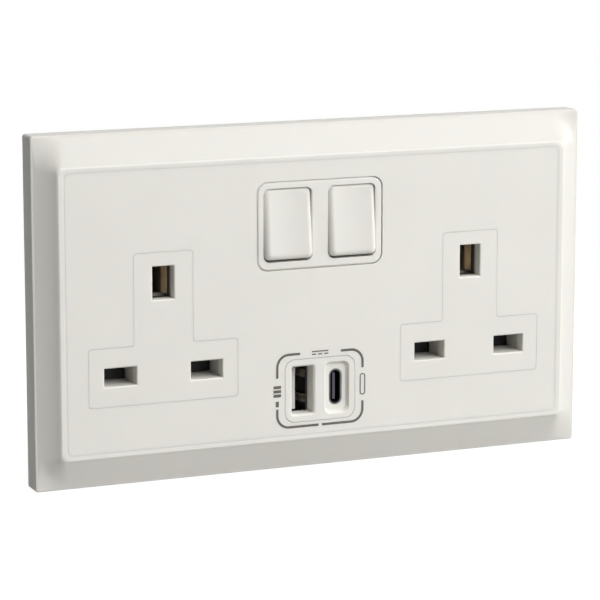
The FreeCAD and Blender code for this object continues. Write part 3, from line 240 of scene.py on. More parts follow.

# %% [markdown]
# ## Painted shade that changes with the level
# Low in a plug slot the real plastic is in deep shade, because hardly any light gets between its
# narrow walls, while light that wanders inside pale plastic would fill the slot again. So that
# shade is painted into the colour. The frame's flank, too, gets painted shade, so that it reads a
# little deeper in colour than its thin lip. A second piece with a colour of its own would put a
# seam on one moulding. So the colour is blended into a darker one, as painted shade, by the level
# above the wall. The pin slots are low on the plate and take only a share of that painted shade.

# %% Shade by level
SHARE_FROM = -8.0
SLOT_LIGHT, SLOT_DARK, SLOT_SHADE, PIN_SHARE = 7.0, 5.2, (0.07, 0.065, 0.058), 0.26
LIP_LIGHT, LIP_DARK, FLANK_SHADE = 8.96, 8.72, (0.72, 0.704, 0.66)


def darken_with_depth(made, light_level, dark_level, dark, low_share=1.0):
    """Paints shade: blends the colour into a darker one between two levels.

    Y is minus the level. The blend is whole from the plate's middle line up, and low_share of it
    from SHARE_FROM down.
    """
    tree = made.node_tree
    shader = tree.nodes["Principled BSDF"]
    tint = shader.inputs["Base Color"].links[0].from_socket
    place = tree.nodes.new("ShaderNodeTexCoord")
    split = tree.nodes.new("ShaderNodeSeparateXYZ")
    fade = tree.nodes.new("ShaderNodeMapRange")
    fade.interpolation_type = "SMOOTHSTEP"
    fade.inputs["From Min"].default_value = -light_level * MM
    fade.inputs["From Max"].default_value = -dark_level * MM
    rise = tree.nodes.new("ShaderNodeMapRange")
    rise.inputs["From Min"].default_value = SHARE_FROM * MM
    rise.inputs["From Max"].default_value = 0.0
    rise.inputs["To Min"].default_value = low_share
    both = tree.nodes.new("ShaderNodeMath")
    both.operation = "MULTIPLY"
    blend = tree.nodes.new("ShaderNodeMix")
    blend.data_type = "RGBA"
    blend.inputs["B"].default_value = (*dark, 1)
    tree.links.new(place.outputs["Object"], split.inputs[0])
    tree.links.new(split.outputs["Y"], fade.inputs["Value"])
    tree.links.new(split.outputs["Z"], rise.inputs["Value"])
    tree.links.new(fade.outputs["Result"], both.inputs[0])
    tree.links.new(rise.outputs["Result"], both.inputs[1])
    tree.links.new(both.outputs[0], blend.inputs["Factor"])
    tree.links.new(tint, blend.inputs["A"])
    tree.links.new(blend.outputs["Result"], shader.inputs["Base Color"])


# Painted shade low in the outlet slots, and painted shade on the frame's flank below its lip.
darken_with_depth(ivory_outlet, SLOT_LIGHT, SLOT_DARK, SLOT_SHADE, PIN_SHARE)
darken_with_depth(ivory_frame, LIP_LIGHT, LIP_DARK, FLANK_SHADE)
print("shade in the slots below", SLOT_LIGHT, "and on the flank below", LIP_LIGHT)

# %% [markdown]
# ## Metal and board
# Contact brass is rolled sheet: fine lines along it and a little tarnish. Plated steel is greyer
# and smoother. The supply inside has a green board and a plain can. A bare metal shader would look
# like a mirror at this size. So a noise that is stretched one way gives the rolling lines, soft
# clouds give the tarnish, and a wave gives the threads under the board's green mask.

# %% Metal finishes
TARNISH_WAVES, ROLLING_WAVES, ROLLING_STRETCH = 240.0, 1800.0, (1.0, 1.0, 0.06)
ROLLING_HEIGHT, ROLLING_STRENGTH = 0.008, 0.4


def rolled_metal(name, colour, tarnish, rough):
    """Sheet metal: tarnish in soft clouds, and rolling lines stretched along one way."""
    made, tree, shader = new_finish(name)
    shader.inputs["Metallic"].default_value = 1.0
    cloud = spread(tree, noise_of(tree, TARNISH_WAVES, 5.0), 0.0, 1.0)
    tree.links.new(tint_between(tree, cloud, tarnish, colour), shader.inputs["Base Color"])
    lines = noise_of(tree, ROLLING_WAVES, 3.0, ROLLING_STRETCH)
    gloss = spread(tree, lines, rough - 0.06, rough + 0.10)
    tree.links.new(gloss, shader.inputs["Roughness"])
    bump_from(tree, shader, lines, ROLLING_HEIGHT, ROLLING_STRENGTH)
    return made


brass = rolled_metal("brass", (0.72, 0.50, 0.22), (0.42, 0.26, 0.10), 0.30)
brass_dull = rolled_metal("brass_dull", (0.84, 0.72, 0.54), (0.62, 0.51, 0.36), 0.45)
steel = rolled_metal("steel", (0.62, 0.61, 0.60), (0.42, 0.42, 0.42), 0.28)
gold = rolled_metal("gold", (0.83, 0.62, 0.28), (0.72, 0.50, 0.20), 0.22)
# The USB shells are steel made dark: painted shade for the deep inside of the ports.
shell_painted_shade = rolled_metal("shell_painted_shade", (0.16, 0.16, 0.165), (0.08, 0.08, 0.085), 0.34)
can_metal = rolled_metal("can_metal", (0.55, 0.56, 0.58), (0.42, 0.43, 0.46), 0.34)
print("rolling lines", ROLLING_WAVES, "waves for each metre")

# %% Board finish
BOARD_DARK, BOARD_LIGHT = (0.012, 0.085, 0.035), (0.02, 0.13, 0.055)
BOARD_WAVES, THREAD_WAVES = 150.0, 900.0
THREAD_HEIGHT, THREAD_STRENGTH = 0.01, 0.3


def board_finish():
    """Green solder mask over woven glass: a fine grid of threads and slow colour clouds."""
    made, tree, shader = new_finish("board_green")
    cloud = spread(tree, noise_of(tree, BOARD_WAVES, 3.0), 0.0, 1.0)
    green = tint_between(tree, cloud, BOARD_DARK, BOARD_LIGHT)
    tree.links.new(green, shader.inputs["Base Color"])
    place = tree.nodes.new("ShaderNodeTexCoord")
    threads = tree.nodes.new("ShaderNodeTexWave")
    threads.inputs["Scale"].default_value = THREAD_WAVES
    tree.links.new(place.outputs["Object"], threads.inputs["Vector"])
    bump_from(tree, shader, threads.outputs["Fac"], THREAD_HEIGHT, THREAD_STRENGTH)
    shader.inputs["Roughness"].default_value = 0.32
    return made


board_green = board_finish()
print("finishes so far", len(bpy.data.materials))

# %% [markdown]
# ## Which finish each measured node wears
# Many measured nodes already have the right shape. They could be modelled again, but that would
# only lose their exact fit. So they keep their solid and get a finish. The list is read once for
# every node, so that none is left in a plain colour.

# %% Finishes of the nodes
finish_of = {
    "outer_frame": ivory_frame, "front_panel": ivory_panel, "switch_bezel": ivory_bezel,
    "usb_fascia": ivory_insert, "support_frame": carrier_grey, "rear_housing": housing_grey,
    "housing_screws": steel, "terminal_screws": steel, "usb_board": board_green,
    "usb_transformer": core_black, "usb_capacitor": can_metal, "usb_a_shell": shell_painted_shade,
    "usb_c_shell": shell_painted_shade, "usb_a_tongue": insulator_pale, "usb_c_tongue": insulator_violet,
    "live_feed_bar": brass, "neutral_strip": brass, "earth_strip": brass_dull,
}
for side in ("left", "right"):
    finish_of[f"outlet_insert_{side}"] = ivory_outlet
    finish_of[f"rocker_{side}"] = ivory_rocker
    finish_of[f"shutter_{side}"] = shutter_black
    finish_of[f"shutter_spring_{side}"] = steel
    finish_of[f"plunger_{side}"] = plunger_white
    finish_of[f"plunger_spring_{side}"] = steel
    finish_of[f"moving_contact_{side}"] = brass
    finish_of[f"live_contact_{side}"] = brass
for pole in ("live", "neutral", "earth"):
    finish_of[f"terminal_{pole}"] = brass
for name, node in nodes.items():
    node.data.materials.clear()
    node.data.materials.append(finish_of[name])
print("nodes finished", len(finish_of), "of", len(nodes))

# %% [markdown]
# ## Edges that catch the light
# A moulded edge is never a knife edge. A bevel on every edge would be quick, but it would widen
# the thin lines between the island pieces, which are tight on the object. A measured node is loose
# triangles with sharp edges, so a copy is merged and its flat faces joined. Only the edges that
# the mould rounds then get a small bevel, chosen by where they are.

# %% Rounded copy of a node
BROAD_FACE = 12.0 * MM * MM
SHARP_TURN, FLAT_TURN = 28, 0.4


def rounded_copy(node_name, width, wanted, segments, eased=None):
    """A merged copy of a node whose wanted sharp edges are bevelled by the width, in millimetres.

    Where eased is given, it says how far each point first moves, in millimetres.
    """
    source = nodes[node_name]
    mesh = source.data.copy()
    work = bmesh.new()
    work.from_mesh(mesh)
    bmesh.ops.remove_doubles(work, verts=work.verts, dist=2e-6)
    bmesh.ops.dissolve_limit(
        work, angle_limit=math.radians(FLAT_TURN), verts=work.verts, edges=work.edges
    )
    if eased:
        for vert in work.verts:
            vert.co += Vector(eased(vert.co / MM)) * MM
    layer = work.edges.layers.float.new("bevel_weight_edge")
    chosen = 0
    for edge in work.edges:
        if len(edge.link_faces) == 2 and edge.calc_face_angle(0) > math.radians(SHARP_TURN):
            middle = (edge.verts[0].co + edge.verts[1].co) / 2 / MM
            edge[layer] = float(wanted(middle))
            chosen += edge[layer] > 0
    work.to_mesh(mesh)
    work.free()
    made = bpy.data.objects.new(f"{node_name}_dressed", mesh)
    bpy.context.scene.collection.objects.link(made)
    smooth_between(mesh, SHARP_TURN)
    for face in mesh.polygons:
        face.use_smooth = face.area < BROAD_FACE
    bevel = made.modifiers.new("soft_edges", "BEVEL")
    bevel.width = width * MM
    bevel.segments = segments
    bevel.limit_method = "WEIGHT"
    bevel.harden_normals = True
    bevel.use_clamp_overlap = True
    return made, chosen


print("edges that turn by more than", SHARP_TURN, "degrees can be rounded")

# %% Outlet fronts
PANEL_FACE, AT_FACE = 9.0, 0.02
OUTLET_X, PIN_X = 41.1, 11.1
PIN_LINE, EARTH_LINE = -15.7, 6.5
PIN_NEAR_X, PIN_NEAR_Z = 4.3, 2.4
EARTH_NEAR_X, EARTH_NEAR_Z = 2.9, 4.2
SLOT_ROUND = 0.34


def on_face(middle):
    """True at the level of the panel's face."""
    return abs(-middle.y - PANEL_FACE) < AT_FACE


def slot_mouth(middle):
    """True on the mouth of a pin slot, and false on the T-shaped outline."""
    across = min(abs(middle.x - OUTLET_X), abs(middle.x + OUTLET_X))
    line = abs(across - PIN_X) < PIN_NEAR_X and abs(middle.z - PIN_LINE) < PIN_NEAR_Z
    earth = across < EARTH_NEAR_X and abs(middle.z - EARTH_LINE) < EARTH_NEAR_Z
    return on_face(middle) and (line or earth)


for side in ("left", "right"):
    insert, chosen = rounded_copy(f"outlet_insert_{side}", SLOT_ROUND, slot_mouth, 4)
    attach(insert, "socket")
    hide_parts(f"outlet_insert_{side}")
    print(insert.name, "edges", chosen, "triangles", triangle_count(insert))

# %% [markdown]
# ## The flared frame
# The frame is one moulding: a narrow rim, a flank that rises to the panel and steepens a little on
# the way, and a thin round lip round the panel. A bevelled box could stand for it, but its flank
# runs further at the top and bottom than at the sides, and its corner changes on the way up:
# tight at the rim, broad on the lower flank and tight again at the lip. So its section is one
# closed line, each point of it with its own insets and corner, and that line carried round the
# plate gives the whole piece as one skin. Four snap tongues on the inside hold it on the carrier.

# %% The section of the frame
PLATE_X, PLATE_Z = 73.0, 43.0
RIM, CREST = 5.8, 9.04
SIDE_FLAT, SIDE_RUN, SIDE_BOW = 0.5, 4.85, 0.26
TOP_FLAT, TOP_RUN, TOP_BOW = 0.4, 6.9, 0.05
RIM_CORNER, LIP_CORNER, BROAD_CORNER, BROAD_FROM = 0.7, 1.5, 6.8, 0.07
RIM_ROUND, LIP_ROUND, LIP_WIDTH, LIP_SLOPE = 0.3, 0.3, 0.45, 0.7
WINDOW_X, WINDOW_Z = 65.75, 34.15
LEDGE_X, LEDGE_Z = 66.69, 35.09
LEDGE, HOLLOW, FRAME_WALL = 7.2, 4.0, 1.8


def quarter(steps, radius):
    """Runs and drops along a quarter circle of the radius, from level to upright."""
    turn = np.linspace(0, math.pi / 2, steps)
    return radius * np.sin(turn), radius * (1 - np.cos(turn))


def frame_section():
    """Half width, half height, corner radius and level of each point of the frame's section.

    With t from 0 at the rim to 1 at the lip, the flank's rise is t and its run t + bow (t - t t).
    Its corner is the lip's plus a broad one that fades with 1 - t and starts within BROAD_FROM.
    """
    rows = [(PLATE_X, PLATE_Z, RIM_CORNER, 0.0)]
    run, drop = quarter(5, RIM_ROUND)
    for out, down in zip(run[::-1], drop[::-1]):
        inset = RIM_ROUND - out
        rows.append((PLATE_X - inset, PLATE_Z - inset, RIM_CORNER - inset, RIM - down))
    for t in np.linspace(0, 1, 33):
        corner = LIP_CORNER + BROAD_CORNER * (1 - t) * (1 - math.exp(-t / BROAD_FROM))
        half_x = PLATE_X - SIDE_FLAT - SIDE_RUN * (t + SIDE_BOW * (t - t * t))
        half_z = PLATE_Z - TOP_FLAT - TOP_RUN * (t + TOP_BOW * (t - t * t))
        rows.append((half_x, half_z, corner, RIM + (CREST - LIP_ROUND - RIM) * t))
    lip_x, lip_z = rows[-1][:2]
    run, drop = quarter(6, 1.0)
    for out, down in zip(run[1:], drop[::-1][1:]):
        inset = LIP_WIDTH * out
        rows.append((lip_x - inset, lip_z - inset, LIP_CORNER, CREST - LIP_ROUND * down))
    for part in np.linspace(0, 1, 7):
        inset = LIP_SLOPE * (1 - part)
        down = (CREST - PANEL_FACE) * (1 - math.cos(math.pi * part)) / 2
        rows.append((WINDOW_X + inset, WINDOW_Z + inset, LIP_CORNER, CREST - down))
    foot_x, foot_z = PLATE_X - FRAME_WALL, PLATE_Z - FRAME_WALL
    rows.append((WINDOW_X, WINDOW_Z, LIP_CORNER, LEDGE))
    rows += [(LEDGE_X, LEDGE_Z, LIP_CORNER, level) for level in (LEDGE, HOLLOW)]
    rows += [(foot_x, foot_z, RIM_CORNER, level) for level in (HOLLOW, 0.0)]
    return np.array(rows)


section = frame_section()
print("section points", len(section), "highest level", round(section[:, 3].max(), 2))

# %% A section carried round
def carried_round(section, corner_steps, run_steps):
    """Each row's rounded rectangle: four quarter circles about its corner centres, and the runs.

    A corner's points are its centre plus radius cos a across and radius sin a up.
    """
    turns = np.linspace(0, math.pi / 2, corner_steps)
    columns = []
    for corner in range(4):
        angle = turns + corner * math.pi / 2
        sign_x, sign_z = (1, -1, -1, 1)[corner], (1, 1, -1, -1)[corner]
        x = sign_x * (section[:, :1] - section[:, 2:3]) + section[:, 2:3] * np.cos(angle)
        z = sign_z * (section[:, 1:2] - section[:, 2:3]) + section[:, 2:3] * np.sin(angle)
        columns.append(np.stack([x, z], axis=-1))
    ring = []
    for corner in range(4):
        here, after = columns[corner], columns[(corner + 1) % 4]
        ring.append(here)
        share = np.linspace(0, 1, run_steps + 2)[1:-1][None, :, None]
        ring.append(here[:, -1:, :] * (1 - share) + after[:, :1, :] * share)
    flat = np.concatenate(ring, axis=1)
    level = np.broadcast_to(section[:, 3:4], flat.shape[:2])
    return np.stack([flat[..., 0], -level, flat[..., 1]], axis=-1)


grid = carried_round(section, corner_steps=13, run_steps=5)
print("frame rows and columns", grid.shape[:2])

# %% Snap tongues
SUPPORT_Z = 35.99
TONGUE_SPOT, TONGUE_HALF = 45.0, 5.0
TONGUE_NEAR, TONGUE_FAR, TONGUE_TOP = 0.2, 1.8, 4.1
TONGUE_NIB, TONGUE_FOOT, NIB_CHAMFER = 0.5, 0.2, 0.2


def tongue_outline(sign, x):
    """The outline of a snap tongue with its nib, at one X: heights from the support, and levels."""
    near, far, nib = SUPPORT_Z + TONGUE_NEAR, SUPPORT_Z + TONGUE_FAR, TONGUE_NIB
    outline = [(near, TONGUE_TOP), (near, TONGUE_FOOT + nib), (near - nib, TONGUE_FOOT + nib)]
    outline += [(near - nib, TONGUE_FOOT + NIB_CHAMFER), (near - nib + NIB_CHAMFER, TONGUE_FOOT)]
    outline += [(far, TONGUE_FOOT), (far, TONGUE_TOP)]
    return np.array([(x, -level, sign * height) for height, level in outline])


print("points round a tongue", len(tongue_outline(1, 0.0)))

# %% The frame
rows, columns = grid.shape[:2]
points, faces = grid.reshape(-1, 3), grid_faces(rows, columns, True, True).tolist()
for sign in (-1, 1):
    for centre in (-TONGUE_SPOT, TONGUE_SPOT):
        ends = [tongue_outline(sign, centre + half) for half in (-TONGUE_HALF, TONGUE_HALF)]
        first, count = len(points), len(ends[0])
        faces += grid_faces(2, count, False, True, first).tolist()
        faces.append([first + k for k in range(count)][::-1])
        faces.append([first + count + k for k in range(count)])
        points = np.concatenate([points, *ends])
frame_skin = mesh_object("flared_frame", points, faces, ivory_frame)
face_outwards(frame_skin.data)
smooth_between(frame_skin.data, 30)
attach(frame_skin, "socket")
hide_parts("outer_frame")
print(frame_skin.name, "triangles", triangle_count(frame_skin))

# %% [markdown]
# ## Panel, switch block and USB block
# The wells of the switch block and the recess of the USB-C port have soft, broad roundings that
# carry the light round the rockers. The panel, the block outlines and the plug slots stay crisp.
# One bevel for all would blur them. So each copy has its own test of which edges are rounded, and
# its own width. The mouth of each well also comes in a little over its rocker, the outline of
# the switch block closes its gap, and the wall of the USB-C recess becomes a slope.

# %% Soft edges of the switch block
SWITCH_X, SWITCH_LINE, BEZEL_LINE = 8.55, 18.6, 18.4
BEZEL_NEAR_X, BEZEL_NEAR_Z, WELL_EDGE = 15.6, 10.2, 0.6
WELL_X, WELL_Z, WELL_MORE = 6.35, 9.2, 0.6
MOUTH_IN_X, MOUTH_IN_Z, OUTLINE_OUT = 0.32, 0.62, 0.095


def well_edge(middle):
    """True on both edges of the bevel round the rocker wells."""
    near = abs(middle.x) < BEZEL_NEAR_X and abs(middle.z - BEZEL_LINE) < BEZEL_NEAR_Z
    return near and -middle.y > PANEL_FACE - WELL_EDGE


def ease_bezel(point):
    """Brings each well's mouth in, further at its ends, and the block's outline out."""
    if not on_face(point):
        return (0, 0, 0)
    across, up = point.x - math.copysign(SWITCH_X, point.x), point.z - SWITCH_LINE
    if abs(across) < WELL_X + WELL_MORE and abs(up) < WELL_Z + WELL_MORE:
        return (-math.copysign(MOUTH_IN_X, across), 0, -math.copysign(MOUTH_IN_Z, up))
    out_x = math.copysign(OUTLINE_OUT, point.x)
    return (out_x, 0, math.copysign(OUTLINE_OUT, point.z - BEZEL_LINE))


print("mouths of the wells come in by", MOUTH_IN_X, "at the sides and", MOUTH_IN_Z, "at the ends")

# %% Soft edges of the USB block
USB_LINE, PORT_X, C_RECESS = -23.0, 4.6, 1.1
PORT_EDGE, A_EDGE_WEIGHT = 0.45, 0.25
C_NEAR, C_HOLE, A_NEAR = (3.6, 7.0), (1.9, 4.9), (3.5, 6.7)
C_MOUTH, C_FOOT_HOLE = (3.2, 6.5), (1.9, 4.7)
RECESS_OUT, BED_IN = 0.38, 0.12


def about_port(point, port_x, reach):
    """True where a point is within the reach, across and up, of the middle of a port."""
    return abs(point.x - port_x) < reach[0] and abs(point.z - USB_LINE) < reach[1]


def on_bed(point):
    """True at the level of the bed of the USB-C recess."""
    return abs(-point.y - PANEL_FACE + C_RECESS) < AT_FACE


def port_edge(middle):
    """1 round the USB-C recess and its bed, a quarter round the USB-A lead-in, 0 elsewhere."""
    at_mouth = -middle.y > PANEL_FACE - PORT_EDGE
    round_bed = on_bed(middle) and not about_port(middle, PORT_X, C_HOLE)
    if about_port(middle, PORT_X, C_NEAR) and (at_mouth or round_bed):
        return 1.0
    if at_mouth and about_port(middle, -PORT_X, A_NEAR):
        return A_EDGE_WEIGHT
    return 0.0


def ease_fascia(point):
    """Widens the mouth of the USB-C recess and draws its foot in, so that its wall is a slope."""
    if on_face(point) and about_port(point, PORT_X, C_MOUTH):
        out = RECESS_OUT
    elif on_bed(point) and not about_port(point, PORT_X, C_FOOT_HOLE):
        out = -BED_IN
    else:
        return (0, 0, 0)
    across, up = point.x - PORT_X, point.z - USB_LINE
    return (math.copysign(out, across * out), 0, math.copysign(out, up * out))


print("mouth of the USB-C recess goes out by", RECESS_OUT, "and its foot comes in by", BED_IN)

# %% The dressed blocks
WINDOW_NEAR_X, WINDOW_NEAR_Z = 65, 33.5
BACK_Y = 21.9


def panel_rim(middle):
    """True along the panel's outline, at its face."""
    return on_face(middle) and (abs(middle.x) > WINDOW_NEAR_X or abs(middle.z) > WINDOW_NEAR_Z)


def back_edge(middle):
    """True round the back of the rear housing."""
    return middle.y > BACK_Y


dressed = [
    ("front_panel", 0.02, panel_rim, 2, "panel_plastic", None),
    ("switch_bezel", 0.12, well_edge, 3, "panel_plastic", ease_bezel),
    ("usb_fascia", 0.45, port_edge, 4, "panel_plastic", ease_fascia),
    ("rear_housing", 0.35, back_edge, 2, "carrier_plastic", None),
]
for name, width, wanted, segments, slot, eased in dressed:
    piece, chosen = rounded_copy(name, width, wanted, segments, eased)
    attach(piece, "socket")
    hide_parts(name)
    print(piece.name, "edges", chosen, "triangles", triangle_count(piece))

# %% [markdown]
# ## Rockers
# A rocker is a shallow cap with a broad rounding all round and a face that is slightly hollow from
# side to side. It turns on two stub axles, and a hollow stem holds the plunger. A bevelled box has
# no hollow face, and its corners pinch. So the cap is one grid: rings that grow from the middle of
# the face, go over the rounding and down the wall, and come back inside to the middle of the roof.

# %% Rings and turned forms
def ring_of(half_x, half_z, corner, level):
    """One rounded rectangle of the carried section, as points with their level on Y."""
    row = np.array([[half_x, half_z, corner, level]])
    return carried_round(row, corner_steps=7, run_steps=9)[0]


def turned(profile, steps):
    """Radius and height pairs turned about the Y axis: x = r cos a, z = r sin a, y = -height."""
    angle = np.linspace(0, 2 * math.pi, steps, endpoint=False)
    radius, height = np.array(profile, float).T
    x = radius[:, None] * np.cos(angle)
    z = radius[:, None] * np.sin(angle)
    y = np.broadcast_to(-height[:, None], x.shape)
    return np.stack([x, y, z], axis=-1)


def with_poles(grid, first):
    """Faces of a grid closed along its columns, with a fan to a pole at each end."""
    rows, columns = grid.shape[:2]
    faces = grid_faces(rows, columns, False, True, first).tolist()
    start, end = first + rows * columns, first + rows * columns + 1
    here = np.arange(columns)
    after = (here + 1) % columns
    faces += [[start, first + b, first + a] for a, b in zip(here, after)]
    last = first + (rows - 1) * columns
    faces += [[end, last + a, last + b] for a, b in zip(here, after)]
    poles = [[grid[0].mean(axis=0)], [grid[-1].mean(axis=0)]]
    return np.concatenate([grid.reshape(-1, 3), *poles]), faces


def joined(parts):
    """Several closed grids as one list of points and faces."""
    points, faces, first = [], [], 0
    for grid in parts:
        more, squares = with_poles(grid, first)
        points.append(more)
        faces += squares
        first += len(more)
    return np.concatenate(points), faces


print("points round a ring", len(ring_of(2.0, 2.0, 0.5, 0.0)))

# %% The rocker cap
ROCKER_X, ROCKER_Z = 6.28, 8.86
CAP_TOP, CAP_SKIRT, CAP_ROOF = 4.95, -1.5, 2.9
CAP_DRAFT = 0.14
CAP_ROUND, CAP_CORNER, CAP_WALL = 1.25, 1.3, 1.6
FACE_CORNER, INNER_CORNER = 0.9, 0.4
DISH, DISH_CHORD = 0.30, 5.0


def cap_grid():
    """Rings of the cap: the face, a quarter circle, the wall, the inside wall and the roof.

    The face is hollowed by DISH times 1 - (x / chord) squared, which fades over the rounding.
    """
    rings = []
    for share in np.linspace(0.04, 1, 14):
        inner_x = (ROCKER_X - CAP_ROUND) * share
        inner_z = (ROCKER_Z - CAP_ROUND) * share
        rings.append(ring_of(inner_x, inner_z, FACE_CORNER * share, CAP_TOP))
    run, drop = quarter(10, CAP_ROUND)
    for out, down in zip(run[1:], drop[1:]):
        inset = CAP_ROUND - out
        corner = FACE_CORNER + (CAP_CORNER - FACE_CORNER) * out / CAP_ROUND
        rings.append(ring_of(ROCKER_X - inset, ROCKER_Z - inset, corner, CAP_TOP - down))
    rings.append(ring_of(ROCKER_X, ROCKER_Z + CAP_DRAFT, CAP_CORNER, CAP_SKIRT))
    for level in (CAP_SKIRT, CAP_ROOF):
        rings.append(ring_of(ROCKER_X - CAP_WALL, ROCKER_Z - CAP_WALL, INNER_CORNER, level))
    rings.append(ring_of(0.3, 0.3, 0.1, CAP_ROOF))
    grid = np.array(rings)
    chord = np.clip(1 - (grid[..., 0] / DISH_CHORD) ** 2, 0, 1)
    depth = np.clip((-grid[..., 1] - (CAP_TOP - CAP_ROUND)) / CAP_ROUND, 0, 1)
    grid[..., 1] += DISH * chord * depth
    return grid


print("rings and points of the cap", cap_grid().shape[:2])

# %% Axles and stem
def axle_grid(sign):
    """A stub axle along X, with a small bevel at its end."""
    start, end, radius, bevel = 4.6, 7.6, 1.2, 0.2
    upright = turned([(radius, start), (radius, end - bevel), (radius - bevel, end)], 28)
    return np.stack([-sign * upright[..., 1], upright[..., 0], upright[..., 2]], axis=-1)


def stem_grid():
    """The hollow stem: down outside, round its foot, and up the bore."""
    reach, outer, bore, bore_roof = -6.5, 2.7, 1.8, 2.1
    middle, foot_bevel, bore_bevel = 0.2, 0.2, 0.15
    profile = [(middle, CAP_ROOF), (outer, CAP_ROOF), (outer, reach + foot_bevel)]
    profile += [(outer - foot_bevel, reach), (bore + bore_bevel, reach)]
    profile += [(bore, reach + bore_bevel), (bore, bore_roof), (middle, bore_roof)]
    return turned(profile, 36)


print("rings of an axle", len(axle_grid(1)), "and of the stem", len(stem_grid()))

# %% Both rockers
TILT = math.radians(5.5)
HINGE_LEVEL = 4.6


def tilted_to_hinge(points, across):
    """Turns points about X by the rest tilt, top side inwards, and moves them to the hinge line.

    The turned y is y cos tilt + z sin tilt, and the turned z is z cos tilt - y sin tilt.
    """
    y = points[:, 1] * math.cos(TILT) + points[:, 2] * math.sin(TILT)
    z = points[:, 2] * math.cos(TILT) - points[:, 1] * math.sin(TILT)
    return np.stack([points[:, 0] + across, y - HINGE_LEVEL, z + SWITCH_LINE], axis=-1)


for side, sign in (("left", -1), ("right", 1)):
    points, faces = joined([cap_grid(), stem_grid(), axle_grid(1), axle_grid(-1)])
    points = tilted_to_hinge(points, sign * SWITCH_X)
    rocker = mesh_object(f"rocker_cap_{side}", points, faces, ivory_rocker)
    face_outwards(rocker.data)
    smooth_between(rocker.data, 35)
    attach(rocker, f"rocker_{side}")
    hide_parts(f"rocker_{side}")
    low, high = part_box(f"rocker_{side}")
    print(rocker.name, "triangles", triangle_count(rocker))
    print("  new box", points.min(0).round(2), points.max(0).round(2))
    print("  node box", [round(v / MM, 2) for v in (*low, *high)])

# %% [markdown]
# ## Printed line and signs
# Round the USB block runs a printed line in dark grey with four gaps. A plain sign for direct
# current, a port outline and a small charging sign stand in three of them. They could be a colour
# in the panel's finish, but its edge would be soft. Ink is a film, so each stroke is a flat band
# three hundredths of a millimetre proud of the panel.

# %% Ink
INK_DARK, INK_LIGHT = (0.088, 0.080, 0.070), (0.125, 0.115, 0.100)
INK_HEIGHT, INK_STRENGTH = 0.003, 0.5


def ink_finish():
    """Pad-printed ink: dark grey, slightly uneven in tone and gloss."""
    made, tree, shader = new_finish("ink_grey")
    patch = spread(tree, noise_of(tree, 1500.0, 3.0), 0.0, 1.0)
    tree.links.new(tint_between(tree, patch, INK_DARK, INK_LIGHT), shader.inputs["Base Color"])
    gloss = spread(tree, noise_of(tree, 700.0, 2.0), 0.42, 0.56)
    tree.links.new(gloss, shader.inputs["Roughness"])
    bump_from(tree, shader, noise_of(tree, 5200.0, 2.0), INK_HEIGHT, INK_STRENGTH)
    return made


ink_grey = ink_finish()
print("made", ink_grey.name)

# %% Strokes
INK_PROUD, INK_SUNK = 0.03, 0.02


def sideways(path):
    """The unit direction to the left of a path, at each of its points."""
    way = np.gradient(path, axis=0)
    way /= np.linalg.norm(way, axis=1, keepdims=True)
    return np.stack([-way[:, 1], way[:, 0]], axis=-1)


def band(path, width):
    """A flat stroke of the width along a path: its four corner lines, half the width each side."""
    path = np.asarray(path, float)
    side = sideways(path) * width / 2
    low_edges = [(path - side, INK_SUNK), (path + side, INK_SUNK)]
    high_edges = [(path + side, -INK_PROUD), (path - side, -INK_PROUD)]
    lines = [
        np.stack([line[:, 0], np.full(len(line), rise - PANEL_FACE), line[:, 1]], axis=-1)
        for line, rise in low_edges + high_edges
    ]
    return np.stack(lines, axis=1)


def closed_band(path, width):
    """A stroke round a closed path: the direction at each point is taken across the join."""
    longer = np.concatenate([path[-2:], path, path[:2]])
    return band(longer, width)[2:-2]


def strips_joined(open_strips, closed_strips=()):
    """Strips of four lines each as one list of points and faces; open ones get end caps."""
    points, faces, first = [], [], 0
    for strip, closed in [(s, False) for s in open_strips] + [(s, True) for s in closed_strips]:
        rows = len(strip)
        faces += grid_faces(rows, 4, closed, True, first).tolist()
        if not closed:
            faces.append([first + 3, first + 2, first + 1, first])
            faces.append([first + (rows - 1) * 4 + k for k in range(4)])
        points.append(strip.reshape(-1, 3))
        first += rows * 4
    return np.concatenate(points), faces


print("points and lines of a short stroke", band([(0, 0), (1, 0)], 0.5).shape[:2])

# %% The line
LINE_X, LINE_TOP, LINE_FOOT, LINE_CORNER, STROKE = 11.5, -13.75, -32.05, 3.1, 0.6
TOP_GAP, FOOT_GAP = (-5.4, 5.6), (-0.4, 0.5)
LEFT_GAP, RIGHT_GAP = (-27.3, -19.5), (-26.9, -18.5)


def arc_between(centre, radius, start, end):
    """Twelve points on a circle about the centre, from one angle to the other in degrees."""
    angle = np.radians(np.linspace(start, end, 12))
    x = centre[0] + radius * np.cos(angle)
    z = centre[1] + radius * np.sin(angle)
    return np.stack([x, z], axis=-1)


def bent_line(start, corner_at, quadrant, end):
    """A straight run, a quarter circle round one corner of the printed line, and a run."""
    sign_x, sign_z = ((1, 1), (-1, 1), (-1, -1), (1, -1))[quadrant]
    centre = (corner_at[0] - sign_x * LINE_CORNER, corner_at[1] - sign_z * LINE_CORNER)
    arc = arc_between(centre, LINE_CORNER, 90 * quadrant, 90 * quadrant + 90)
    return np.concatenate([[start], arc, [end]])


printed = [
    bent_line((LINE_X, RIGHT_GAP[1]), (LINE_X, LINE_TOP), 0, (TOP_GAP[1], LINE_TOP)),
    bent_line((TOP_GAP[0], LINE_TOP), (-LINE_X, LINE_TOP), 1, (-LINE_X, LEFT_GAP[1])),
    bent_line((-LINE_X, LEFT_GAP[0]), (-LINE_X, LINE_FOOT), 2, (FOOT_GAP[0], LINE_FOOT)),
    bent_line((FOOT_GAP[1], LINE_FOOT), (LINE_X, LINE_FOOT), 3, (LINE_X, RIGHT_GAP[0])),
]
bands = [band(path, STROKE) for path in printed]
print("runs of the line", len(bands))

